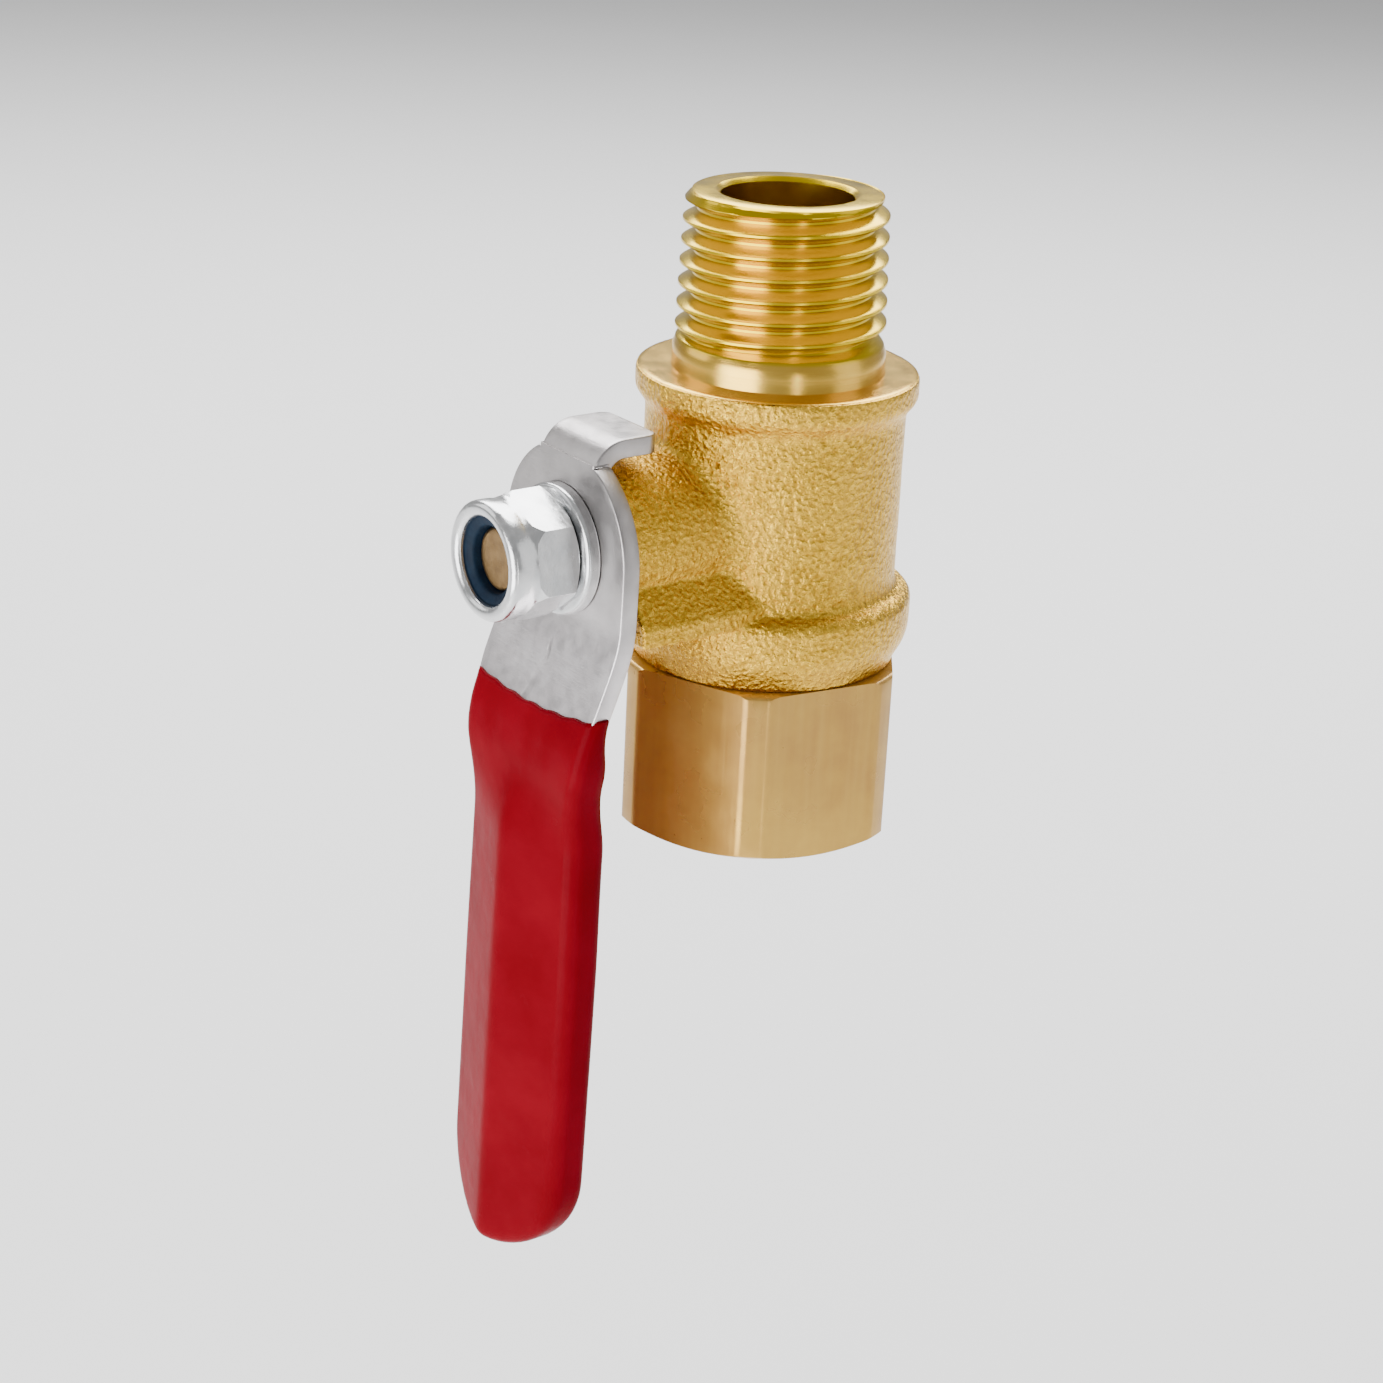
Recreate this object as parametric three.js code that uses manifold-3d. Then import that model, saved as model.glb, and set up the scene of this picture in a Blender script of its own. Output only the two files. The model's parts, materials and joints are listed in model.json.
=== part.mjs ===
// Mini ball valve, G/R 1/4 inch, male by female, with a dipped lever handle.
// Millimetres. Origin: centre of the female port's end face. +Z runs along the
// flow axis towards the male end, and the stem and handle point along -Y.
// Rest pose: valve open, lever hanging along -Z.

import * as THREE from 'three';
import { mergeVertices } from 'three/addons/utils/BufferGeometryUtils.js';
import Module from 'manifold-3d';

const wasm = await Module();
wasm.setup();

// ---------------------------------------------------------------- dimensions

// Flow axis heights
const TOTAL_HEIGHT = 41.5;
const SEAM_Z = 11.55;
const LOWER_COLLAR_TOP = 16.35;
const UPPER_COLLAR_Z = 28.75;
const SHOULDER_Z = 30.4;
const STEM_Z = 20.88;

// Body radii
const BARREL_R = 8.28;
const UPPER_COLLAR_R = 8.93;
const LOWER_COLLAR_R = 9.41;
const NECK_R = 6.73;
const CAVITY_R = 6.9;
const PORT_R = 4.18;

// Taper pipe thread, 19 threads per inch
const PITCH = 1.337;
const THREAD_DEPTH = 0.856;
const THREAD_MAJOR_R = 6.58;
const GAUGE_Z = 35.15;
const TAPER = 1 / 32;
const CRESTS = 6;
const FIRST_CREST_Z = TOTAL_HEIGHT - 1.54;
const END_FACE_R = 5.8;

// End connector
const HEX_FLATS = 17;
const HEX_CORNER_R = 9.42;
const HEX_TURN = 8.4;
const SOCKET_R = 5.75;
const SOCKET_DEPTH = 10.2;
const NOSE_R = 7.15;
const NOSE_TOP = 14.55;

// Ball and seats
const BALL_R = 6.25;
const BALL_BORE_R = 3.85;
const SLOT_WIDTH = 2.4;
const SLOT_FLOOR = 4.7;
const SEAT_GAP = 0.08;
const SEAT_OUTER_R = 6.55;
const SEAT_BORE_R = 3.95;
const SEAT_REACH = 3.95;
const SEAT_BACK = 6.15;

// Stem, measured along -Y from the flow axis
const STEM_R = 2.95;
const STEM_BORE_R = 3.03;
const FLANGE_R = 3.65;
const FLANGE_POCKET_R = 3.8;
const FLANGE_INNER = 6.75;
const FLANGE_OUTER = 7.75;
const POCKET_END = 8.65;
const GROOVES = [9.7, 11.9];
const GROOVE_R = 2.15;
const GROOVE_WIDTH = 1.2;
const RING_WIRE_R = 0.41;
const BOSS_R = 5.1;
const BOSS_END = 14.4;
const STEM_FLATS = 4.2;
const STEM_THREAD_R = 1.95;
const STEM_END = 20.72;

// Lever plate
const PLATE_T = 1.2;
const PLATE_FRONT = 15.9;
const HEAD_R = 6.5;
const BLADE_HALF = 6.4;
const WAIST_HALF = 5.2;
const TAB_HALF = 2.9;
const TAB_BEND_R = 1.7;
const TAB_END = 11;
const TAB_TOP = STEM_Z + 7.3;
const CRANK_START = 17.45;
const CRANK_END = 9.05;
const CRANK_OFFSET = 2.25;
const LEAN = 0.035;
const FOLD_START = 7.25;
const FOLD_END = 2.45;
const FOLD_EDGE_DROP = 0.6;
const FOLD_RIDGE_RISE = 0.85;
const LEVER_TIP = -25.85;
const TIP_R = 5.35;

// Dipped grip
const COAT = 0.7;
const COAT_CLEAR = 0.05;
const COAT_TOP = 11.45;

// Washer, nut and insert
const FACE_GAP = 0.04;
const WASHER_T = 0.9;
const WASHER_R = 4.12;
const WASHER_HOLE_R = 2.2;
const NUT_FLATS = 7;
const NUT_TURN = 8;
const NUT_HEX_H = 3.1;
const NUT_HEIGHT = 5;
const NUT_CROWN_R = 3.75;
const NUT_BORE_R = 2.06;
const NUT_LIP_R = 2.76;
const INSERT_R = 2.9;
const INSERT_BORE_R = 2.0;

const ROUND = 56;
const SMALL_ROUND = 40;

// ----------------------------------------------------------------- materials

function material(color, roughness, metalness) {
  return new THREE.MeshStandardMaterial({ color, roughness, metalness });
}

const forgedBrass = () => material(0xcba24a, 0.55, 1);
const drawnBrass = () => material(0xb98a45, 0.35, 1);
const chromedBrass = () => material(0xc9c6c0, 0.15, 1);
const turnedBrass = () => material(0xb08a4c, 0.35, 1);
const sealPlastic = () => material(0xeeece4, 0.5, 0);
const blackRubber = () => material(0x1b1b1c, 0.75, 0);
const platedSteel = () => material(0xb9b4b5, 0.4, 1);
const brightZinc = () => material(0xc8cbcc, 0.25, 1);
const redVinyl = () => material(0xa82230, 0.35, 0);
const blueNylon = () => material(0x2c4a63, 0.45, 0);

// ------------------------------------------------------------------- helpers

// A closed solid from any geometry whose faces join up.
function solid(geometry) {
  const bare = new THREE.BufferGeometry();
  bare.setAttribute('position', geometry.getAttribute('position').clone());
  if (geometry.index) {
    bare.setIndex(geometry.index.clone());
  }
  const merged = mergeVertices(bare, 1e-4);
  const source = merged.index.array;
  const kept = [];
  for (let i = 0; i < source.length; i += 3) {
    const [a, b, c] = [source[i], source[i + 1], source[i + 2]];
    if (a !== b && b !== c && c !== a) {
      kept.push(a, b, c);
    }
  }
  return new wasm.Manifold(new wasm.Mesh({
    numProp: 3,
    vertProperties: new Float32Array(merged.getAttribute('position').array),
    triVerts: new Uint32Array(kept),
  }));
}

// A three.js mesh from a solid.
function mesh(name, body, finish) {
  const data = body.getMesh();
  const geometry = new THREE.BufferGeometry();
  geometry.setAttribute('position', new THREE.BufferAttribute(data.vertProperties, 3));
  geometry.setIndex(new THREE.BufferAttribute(data.triVerts, 1));
  geometry.computeVertexNormals();
  const result = new THREE.Mesh(geometry, finish);
  result.name = name;
  return result;
}

// A solid turned about the flow axis. The profile is a list of [radius, z] that
// runs up the outside and closes on itself or on the axis.
function turned(profile, segments = ROUND) {
  const points = profile.map(([r, z]) => new THREE.Vector2(r, z));
  const geometry = new THREE.LatheGeometry(points, segments);
  geometry.rotateX(Math.PI / 2);
  return solid(geometry);
}

// A closed ring profile turned about the flow axis.
function ring(profile, segments = ROUND) {
  return turned([...profile, profile[0]], segments);
}

// A solid turned about the stem axis. The profile is a list of [radius, reach],
// where reach is the distance from the flow axis along -Y.
function turnedOnStem(profile, segments = SMALL_ROUND) {
  const points = profile.map(([r, reach]) => new THREE.Vector2(r, reach));
  const geometry = new THREE.LatheGeometry(points, segments);
  geometry.rotateX(Math.PI);
  geometry.translate(0, 0, STEM_Z);
  return solid(geometry);
}

function ringOnStem(profile, segments = SMALL_ROUND) {
  return turnedOnStem([...profile, profile[0]], segments);
}

// A box between two corners.
function box(low, high) {
  const size = high.map((value, i) => value - low[i]);
  const middle = high.map((value, i) => (value + low[i]) / 2);
  const geometry = new THREE.BoxGeometry(...size);
  geometry.translate(...middle);
  return solid(geometry);
}

// An outline of [x, z] points pushed along -Y from one reach to another.
function pushedForward(outline, from, to) {
  const shape = new THREE.Shape(outline.map(([x, z]) => new THREE.Vector2(x, z)));
  const depth = to - from;
  const geometry = new THREE.ExtrudeGeometry(shape, { depth, bevelEnabled: false });
  geometry.rotateX(Math.PI / 2);
  geometry.translate(0, -from, 0);
  return solid(geometry);
}

// A hexagon of [x, y] corners across the given flats, turned by degrees.
function hexagon(flats, turn) {
  const radius = flats / Math.sqrt(3);
  const corners = [];
  for (let k = 0; k < 6; k += 1) {
    const angle = THREE.MathUtils.degToRad(turn + 60 * k);
    corners.push(new THREE.Vector2(radius * Math.cos(angle), radius * Math.sin(angle)));
  }
  return new THREE.Shape(corners);
}

const smooth = (t) => t * t * (3 - 2 * t);

// Zero before start, one after end, with an eased step between.
function ease(value, start, end) {
  const t = THREE.MathUtils.clamp((value - start) / (end - start), 0, 1);
  return smooth(t);
}

// ---------------------------------------------------------------- the threads

// Rings that stand for the taper thread, from the runout up to the end face.
function threadProfile() {
  const points = [];
  for (let k = CRESTS - 1; k >= 0; k -= 1) {
    const z = FIRST_CREST_Z - k * PITCH;
    const crest = THREAD_MAJOR_R - (z - GAUGE_Z) * TAPER;
    const chamfered = k === 0 ? crest - 0.25 : crest;
    points.push([crest - THREAD_DEPTH, z - PITCH * 0.44]);
    points.push([crest, z - PITCH * 0.12]);
    points.push([chamfered, z + PITCH * 0.12]);
    points.push([crest - THREAD_DEPTH, z + PITCH * 0.44]);
  }
  return points;
}

// ----------------------------------------------------------------- valve body

function bodyOutside() {
  const threads = threadProfile();
  return turned([
    [0, SEAM_Z],
    [8.3, SEAM_Z],
    [LOWER_COLLAR_R - 0.12, SEAM_Z + 1.65],
    [LOWER_COLLAR_R, SEAM_Z + 1.95],
    [LOWER_COLLAR_R, LOWER_COLLAR_TOP - 0.85],
    [LOWER_COLLAR_R - 0.16, LOWER_COLLAR_TOP - 0.4],
    [LOWER_COLLAR_R - 0.5, LOWER_COLLAR_TOP - 0.08],
    [BARREL_R + 0.25, LOWER_COLLAR_TOP + 0.1],
    [BARREL_R, LOWER_COLLAR_TOP + 0.45],
    [BARREL_R, UPPER_COLLAR_Z - 1.1],
    [BARREL_R + 0.1, UPPER_COLLAR_Z - 0.6],
    [BARREL_R + 0.32, UPPER_COLLAR_Z - 0.2],
    [UPPER_COLLAR_R, UPPER_COLLAR_Z + 0.1],
    [UPPER_COLLAR_R, SHOULDER_Z - 0.15],
    [UPPER_COLLAR_R - 0.15, SHOULDER_Z],
    [NECK_R + 0.1, SHOULDER_Z],
    [NECK_R, SHOULDER_Z + 0.15],
    [NECK_R, SHOULDER_Z + 1.55],
    ...threads,
    [END_FACE_R + 0.2, TOTAL_HEIGHT - 0.25],
    [END_FACE_R, TOTAL_HEIGHT],
    [0, TOTAL_HEIGHT],
  ]);
}

// The boss that carries the stem, from inside the barrel wall to its end face.
function stemBoss() {
  return turnedOnStem([
    [0, 7],
    [BOSS_R + 0.9, 7],
    [BOSS_R + 0.25, 8.1],
    [BOSS_R, 8.8],
    [BOSS_R, BOSS_END - 0.35],
    [BOSS_R - 0.35, BOSS_END],
    [0, BOSS_END],
  ]);
}

// The two stops that the lever's tab turns between: a wedge under the boss for
// the closed position, and a small upright on a shelf above it for the open one.
function stopLugs() {
  const raise = ([x, z]) => [x, z + STEM_Z];
  const closed = [
    [2.5, -4.95], [6.55, -4.95], [6.55, -3.75], [4.95, -1.75], [4.2, -1.4], [2.5, -2.0],
  ];
  const shelf = [[-4.95, 2.5], [-1.5, 2.5], [-1.5, 4.7], [-4.4, 4.7], [-4.95, 4.2]];
  const open = [
    [-4.7, 4.0], [-1.8, 4.0], [-1.8, 4.75], [-3.15, 5.1], [-3.2, 6.3], [-3.4, 6.5], [-3.9, 6.5],
  ];
  return pushedForward(closed.map(raise), 4.4, BOSS_END - 0.2)
    .add(pushedForward(shelf.map(raise), 6.2, BOSS_END - 0.2))
    .add(pushedForward(open.map(raise), TAB_END - 0.3, BOSS_END - 0.2));
}

function bodyHollow() {
  const seatBack = STEM_Z + SEAT_BACK + 0.1;
  return turned([
    [0, SEAM_Z - 1],
    [NOSE_R + 0.1, SEAM_Z - 1],
    [NOSE_R + 0.1, NOSE_TOP + 0.1],
    [CAVITY_R, NOSE_TOP + 0.35],
    [CAVITY_R, seatBack],
    [PORT_R, seatBack],
    [PORT_R, TOTAL_HEIGHT - 0.3],
    [PORT_R + 0.3, TOTAL_HEIGHT],
    [PORT_R + 0.3, TOTAL_HEIGHT + 1],
    [0, TOTAL_HEIGHT + 1],
  ]);
}

function stemPassage() {
  return turnedOnStem([
    [0, 3],
    [FLANGE_POCKET_R, 3],
    [FLANGE_POCKET_R, POCKET_END],
    [STEM_BORE_R, POCKET_END],
    [STEM_BORE_R, BOSS_END - 0.3],
    [STEM_BORE_R + 0.3, BOSS_END],
    [STEM_BORE_R + 0.3, BOSS_END + 1],
    [0, BOSS_END + 1],
  ]);
}

function valveBody() {
  const shape = bodyOutside()
    .add(stemBoss())
    .add(stopLugs())
    .subtract(bodyHollow())
    .subtract(stemPassage());
  return mesh('valve_body', shape, forgedBrass());
}

// --------------------------------------------------------------- end connector

function endConnector() {
  const seatPocket = 0.6;
  const prism = new THREE.ExtrudeGeometry(hexagon(HEX_FLATS, -HEX_TURN + 30), {
    depth: SEAM_Z - 0.25,
    bevelEnabled: false,
  });
  const turnedLimit = turned([
    [0, 0],
    [HEX_FLATS / 2 - 0.08, 0],
    [HEX_CORNER_R, 0.62],
    [HEX_CORNER_R, SEAM_Z - 0.55],
    [HEX_CORNER_R - 0.3, SEAM_Z - 0.25],
    [0, SEAM_Z - 0.25],
  ]);
  const nose = turned([
    [0, SEAM_Z - 1],
    [NOSE_R - 0.25, SEAM_Z - 1],
    [NOSE_R - 0.25, SEAM_Z + 0.2],
    [NOSE_R, SEAM_Z + 0.5],
    [NOSE_R, NOSE_TOP - 0.3],
    [NOSE_R - 0.3, NOSE_TOP],
    [0, NOSE_TOP],
  ]);
  const hollow = turned([
    [0, -1],
    [SOCKET_R + 0.75, -1],
    [SOCKET_R + 0.75, 0],
    [SOCKET_R, 0.75],
    [SOCKET_R, SOCKET_DEPTH],
    [PORT_R, SOCKET_DEPTH + 0.7],
    [PORT_R, NOSE_TOP + seatPocket],
    [0, NOSE_TOP + seatPocket],
  ]);
  const shape = solid(prism).intersect(turnedLimit).add(nose).subtract(hollow);
  return mesh('end_connector', shape, drawnBrass());
}

// -------------------------------------------------------------- ball and seats

function ball() {
  const steps = 24;
  const profile = [];
  for (let k = 0; k <= steps; k += 1) {
    const angle = -Math.PI / 2 + (Math.PI * k) / steps;
    const radius = k === 0 || k === steps ? 0 : BALL_R * Math.cos(angle);
    profile.push([radius, STEM_Z + BALL_R * Math.sin(angle)]);
  }
  const bore = turned([
    [0, STEM_Z - 7],
    [BALL_BORE_R, STEM_Z - 7],
    [BALL_BORE_R, STEM_Z + 7],
    [0, STEM_Z + 7],
  ], SMALL_ROUND);
  const half = SLOT_WIDTH / 2;
  const slot = box([-7, -7, STEM_Z - half], [7, -SLOT_FLOOR, STEM_Z + half]);
  return mesh('ball', turned(profile).subtract(bore).subtract(slot), chromedBrass());
}

// A sealing ring on one side of the ball: side is +1 above it and -1 below it.
function seat(name, side) {
  const face = BALL_R + SEAT_GAP;
  const at = (reach) => STEM_Z + side * reach;
  const contact = [];
  const steps = 5;
  for (let k = 0; k <= steps; k += 1) {
    const reach = THREE.MathUtils.lerp(Math.sqrt(face ** 2 - SEAT_BORE_R ** 2), SEAT_REACH, k / steps);
    contact.push([Math.sqrt(face ** 2 - reach ** 2), at(reach)]);
  }
  const profile = [
    [SEAT_BORE_R, at(SEAT_BACK)],
    ...contact,
    [SEAT_OUTER_R, at(SEAT_REACH)],
    [SEAT_OUTER_R, at(SEAT_BACK)],
  ];
  return mesh(name, ring(side > 0 ? profile : profile.reverse()), sealPlastic());
}

// ----------------------------------------------------------------------- stem

function stem() {
  const grooves = GROOVES.flatMap((start) => [
    [STEM_R, start],
    [GROOVE_R, start],
    [GROOVE_R, start + GROOVE_WIDTH],
    [STEM_R, start + GROOVE_WIDTH],
  ]);
  const round = turnedOnStem([
    [0, FLANGE_INNER],
    [FLANGE_R, FLANGE_INNER],
    [FLANGE_R, FLANGE_OUTER],
    [STEM_R, FLANGE_OUTER],
    ...grooves,
    [STEM_R, PLATE_FRONT],
    [STEM_THREAD_R, PLATE_FRONT],
    [STEM_THREAD_R, STEM_END - 0.3],
    [STEM_THREAD_R - 0.25, STEM_END],
    [0, STEM_END],
  ]);
  const half = STEM_FLATS / 2;
  const start = PLATE_FRONT - PLATE_T - 0.15;
  const flatSide = (sign) => box(
    [Math.min(sign * half, sign * 4), -PLATE_FRONT - 0.01, STEM_Z - 4],
    [Math.max(sign * half, sign * 4), -start, STEM_Z + 4],
  );
  const tangHalf = SLOT_WIDTH / 2 - 0.15;
  const tang = box(
    [-2.9, -FLANGE_INNER - 0.4, STEM_Z - tangHalf],
    [2.9, -SLOT_FLOOR - 0.2, STEM_Z + tangHalf],
  );
  const shape = round.subtract(flatSide(1)).subtract(flatSide(-1)).add(tang);
  return mesh('stem', shape, turnedBrass());
}

function thrustWasher() {
  const profile = [
    [STEM_R + 0.1, FLANGE_OUTER + FACE_GAP],
    [FLANGE_R, FLANGE_OUTER + FACE_GAP],
    [FLANGE_R, POCKET_END - FACE_GAP],
    [STEM_R + 0.1, POCKET_END - FACE_GAP],
  ];
  return mesh('stem_thrust_washer', ringOnStem(profile), sealPlastic());
}

function stemRing(name, start) {
  const middle = (GROOVE_R + STEM_BORE_R) / 2;
  const geometry = new THREE.TorusGeometry(middle, RING_WIRE_R, 12, SMALL_ROUND);
  geometry.rotateX(Math.PI / 2);
  geometry.translate(0, -(start + GROOVE_WIDTH / 2), STEM_Z);
  return mesh(name, solid(geometry), blackRubber());
}

// ---------------------------------------------------------------------- lever

// Where the middle of the plate's front face lies, from the tab's end over the
// head and down to the tip: reach along -Y, height, and half the width there.
// grow widens it all round.
function leverStations(grow) {
  const stations = [];
  const middle = PLATE_FRONT - PLATE_T / 2;
  const tabHeight = TAB_TOP - PLATE_T / 2;
  const bend = TAB_BEND_R;
  stations.push({ reach: TAB_END - grow, z: tabHeight, half: TAB_HALF + grow - 0.35 });
  stations.push({ reach: TAB_END + 0.4, z: tabHeight, half: TAB_HALF + grow });
  const corner = 6;
  for (let k = 0; k <= corner; k += 1) {
    const angle = (Math.PI / 2) * (k / corner);
    stations.push({
      reach: middle - bend + bend * Math.sin(angle),
      z: tabHeight - bend + bend * Math.cos(angle),
      half: TAB_HALF + grow,
    });
  }
  const neck = Math.sqrt(HEAD_R ** 2 - TAB_HALF ** 2);
  const headSteps = 9;
  for (let k = 1; k <= headSteps; k += 1) {
    const start = Math.asin(TAB_HALF / HEAD_R);
    const angle = THREE.MathUtils.lerp(start, Math.PI / 2, k / headSteps);
    const z = STEM_Z + Math.min(HEAD_R * Math.cos(angle), neck);
    stations.push({ reach: middle, z, half: HEAD_R * Math.sin(angle) + grow });
  }
  const bladeSteps = 34;
  for (let k = 1; k <= bladeSteps; k += 1) {
    const z = THREE.MathUtils.lerp(STEM_Z, LEVER_TIP + TIP_R, k / bladeSteps);
    stations.push({ reach: middle + crank(z), z, half: bladeHalf(z) + grow });
  }
  const tipSteps = 7;
  for (let k = 1; k <= tipSteps; k += 1) {
    const angle = (Math.PI / 2) * (k / tipSteps) * 0.93;
    const z = LEVER_TIP + TIP_R - (TIP_R + grow) * Math.sin(angle);
    stations.push({ reach: middle + crank(z), z, half: (TIP_R + grow) * Math.cos(angle) });
  }
  return stations;
}

// How far the blade stands out beyond the head at a height.
function crank(z) {
  const step = CRANK_OFFSET * ease(-z, -CRANK_START, -CRANK_END);
  const lean = Math.max(0, CRANK_END - z) * LEAN;
  return step + lean;
}

function bladeHalf(z) {
  const toBlade = THREE.MathUtils.lerp(HEAD_R, BLADE_HALF, ease(-z, -STEM_Z, -16.65));
  const waist = THREE.MathUtils.lerp(toBlade, WAIST_HALF, ease(-z, -12.65, -4.15));
  return waist + 0.15 * ease(-z, -2.65, 7.35);
}

// A sheet swept through the stations, folded to a shallow ridge on the grip.
// grow is how far it stands off the steel all round.
function sheet(grow) {
  const stations = leverStations(grow);
  const positions = [];
  const count = stations.length;
  const thick = PLATE_T / 2 + grow;
  stations.forEach((station, i) => {
    const before = stations[Math.max(0, i - 1)];
    const after = stations[Math.min(count - 1, i + 1)];
    const along = new THREE.Vector2(after.reach - before.reach, after.z - before.z).normalize();
    const out = new THREE.Vector2(-along.y, along.x);
    const fold = ease(-station.z, -FOLD_START, -FOLD_END);
    const half = station.half;
    const slope = (fold * (FOLD_EDGE_DROP + FOLD_RIDGE_RISE)) / WAIST_HALF;
    const rise = (x) => fold * FOLD_RIDGE_RISE - slope * Math.abs(x);
    const place = (x, side) => {
      const shift = rise(x) + side * thick;
      positions.push(x, -(station.reach + out.x * shift), station.z + out.y * shift);
    };
    [-half, 0, half].forEach((x) => place(x, 1));
    [half, 0, -half].forEach((x) => place(x, -1));
  });
  const around = 6;
  const faces = [];
  for (let i = 0; i < count - 1; i += 1) {
    for (let j = 0; j < around; j += 1) {
      const a = i * around + j;
      const b = i * around + ((j + 1) % around);
      faces.push(a, b + around, b, a, a + around, b + around);
    }
  }
  const cap = (first, flip) => {
    for (let j = 1; j < around - 1; j += 1) {
      const order = flip ? [0, j, j + 1] : [0, j + 1, j];
      faces.push(...order.map((value) => first + value));
    }
  };
  cap(0, true);
  cap((count - 1) * around, false);
  const geometry = new THREE.BufferGeometry();
  geometry.setAttribute('position', new THREE.Float32BufferAttribute(positions, 3));
  geometry.setIndex(faces);
  return solid(geometry);
}

function lever() {
  const flats = STEM_FLATS / 2 + 0.08;
  const roundHole = turnedOnStem([
    [0, 13],
    [STEM_R + 0.08, 13],
    [STEM_R + 0.08, 18],
    [0, 18],
  ]);
  const limit = box([-flats, -18.5, STEM_Z - 5], [flats, -12.5, STEM_Z + 5]);
  const shape = sheet(0).subtract(roundHole.intersect(limit));
  return mesh('handle_lever', shape, platedSteel());
}

function grip() {
  const below = box([-12, -30, -40], [12, -5, COAT_TOP]);
  const shape = sheet(COAT).intersect(below).subtract(sheet(COAT_CLEAR));
  return mesh('handle_grip', shape, redVinyl());
}

// ------------------------------------------------------------ washer and nut

function plainWasher() {
  const start = PLATE_FRONT + FACE_GAP;
  const profile = [
    [WASHER_HOLE_R, start],
    [WASHER_R, start],
    [WASHER_R, start + WASHER_T - 0.15],
    [WASHER_R - 0.15, start + WASHER_T],
    [WASHER_HOLE_R, start + WASHER_T],
  ];
  return mesh('plain_washer', ringOnStem(profile), brightZinc());
}

function lockNut() {
  const start = PLATE_FRONT + WASHER_T + 2 * FACE_GAP;
  const end = start + NUT_HEIGHT;
  const corner = NUT_FLATS / Math.sqrt(3);
  const inner = NUT_FLATS / 2;
  const limit = turnedOnStem([
    [0, start],
    [inner, start],
    [corner, start + 0.42],
    [corner, start + NUT_HEX_H - 0.42],
    [NUT_CROWN_R, start + NUT_HEX_H],
    [NUT_CROWN_R, end - 0.65],
    [NUT_CROWN_R - 0.12, end - 0.25],
    [NUT_CROWN_R - 0.45, end],
    [0, end],
  ]);
  const prism = new THREE.ExtrudeGeometry(hexagon(NUT_FLATS, 30 + NUT_TURN), {
    depth: NUT_HEX_H + 0.05,
    bevelEnabled: false,
  });
  prism.rotateX(Math.PI / 2);
  prism.translate(0, -start, STEM_Z);
  const crown = turnedOnStem([
    [0, start + NUT_HEX_H - 0.1],
    [NUT_CROWN_R, start + NUT_HEX_H - 0.1],
    [NUT_CROWN_R, end + 1],
    [0, end + 1],
  ]);
  const hollow = turnedOnStem([
    [0, start - 1],
    [NUT_BORE_R, start - 1],
    [NUT_BORE_R, end - 1.65],
    [INSERT_R + 0.05, end - 1.65],
    [INSERT_R + 0.05, end - 0.5],
    [NUT_LIP_R, end - 0.5],
    [NUT_LIP_R, end - 0.32],
    [NUT_LIP_R + 0.3, end],
    [NUT_LIP_R + 0.3, end + 1],
    [0, end + 1],
  ]);
  const shape = solid(prism).add(crown).intersect(limit).subtract(hollow);
  return mesh('lock_nut', shape, brightZinc());
}

function nutInsert() {
  const end = PLATE_FRONT + WASHER_T + 2 * FACE_GAP + NUT_HEIGHT;
  const profile = [
    [INSERT_BORE_R, end - 1.6],
    [INSERT_R, end - 1.6],
    [INSERT_R, end - 0.55],
    [INSERT_BORE_R + 0.25, end - 0.55],
    [INSERT_BORE_R, end - 0.8],
  ];
  return mesh('nut_insert', ringOnStem(profile), blueNylon());
}

// -------------------------------------------------------------------- assembly

const valve = new THREE.Group();
valve.add(
  valveBody(),
  endConnector(),
  ball(),
  seat('seat_male_side', 1),
  seat('seat_female_side', -1),
  stem(),
  thrustWasher(),
  stemRing('stem_ring_inner', GROOVES[0]),
  stemRing('stem_ring_outer', GROOVES[1]),
  lever(),
  grip(),
  plainWasher(),
  lockNut(),
  nutInsert(),
);

export default valve;
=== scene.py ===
"""Looks for a small brass ball valve with a red dipped lever.

Shapes are made in millimetres, in the CAD frame: +Z along the flow axis towards
the male end, -Y along the stem towards the lever. They become metres in piece().
"""

import json
import math

import bmesh
import bpy
import numpy as np
from mathutils import Matrix, Vector


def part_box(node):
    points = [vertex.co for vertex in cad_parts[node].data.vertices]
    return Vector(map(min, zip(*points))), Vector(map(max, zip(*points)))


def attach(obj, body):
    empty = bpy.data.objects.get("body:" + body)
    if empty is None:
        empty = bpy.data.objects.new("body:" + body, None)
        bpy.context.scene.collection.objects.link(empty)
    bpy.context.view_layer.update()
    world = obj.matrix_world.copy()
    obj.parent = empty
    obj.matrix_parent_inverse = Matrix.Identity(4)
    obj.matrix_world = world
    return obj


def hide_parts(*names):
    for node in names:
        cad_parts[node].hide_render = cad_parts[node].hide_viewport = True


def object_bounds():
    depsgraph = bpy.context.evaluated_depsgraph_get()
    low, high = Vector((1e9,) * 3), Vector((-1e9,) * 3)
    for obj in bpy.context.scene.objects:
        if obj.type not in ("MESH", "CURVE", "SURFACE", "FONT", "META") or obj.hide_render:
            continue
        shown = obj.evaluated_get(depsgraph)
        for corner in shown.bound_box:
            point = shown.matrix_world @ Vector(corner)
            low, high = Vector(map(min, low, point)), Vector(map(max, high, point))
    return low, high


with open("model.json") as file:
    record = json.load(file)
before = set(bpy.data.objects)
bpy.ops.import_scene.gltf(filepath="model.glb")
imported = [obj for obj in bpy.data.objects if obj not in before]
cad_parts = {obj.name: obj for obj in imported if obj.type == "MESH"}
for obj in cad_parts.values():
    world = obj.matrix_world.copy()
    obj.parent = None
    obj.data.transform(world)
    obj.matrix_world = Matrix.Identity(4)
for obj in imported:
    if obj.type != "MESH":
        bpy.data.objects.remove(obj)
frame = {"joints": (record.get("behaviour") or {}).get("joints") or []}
cad_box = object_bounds()

MM = 0.001
TAU = 2 * math.pi


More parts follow.
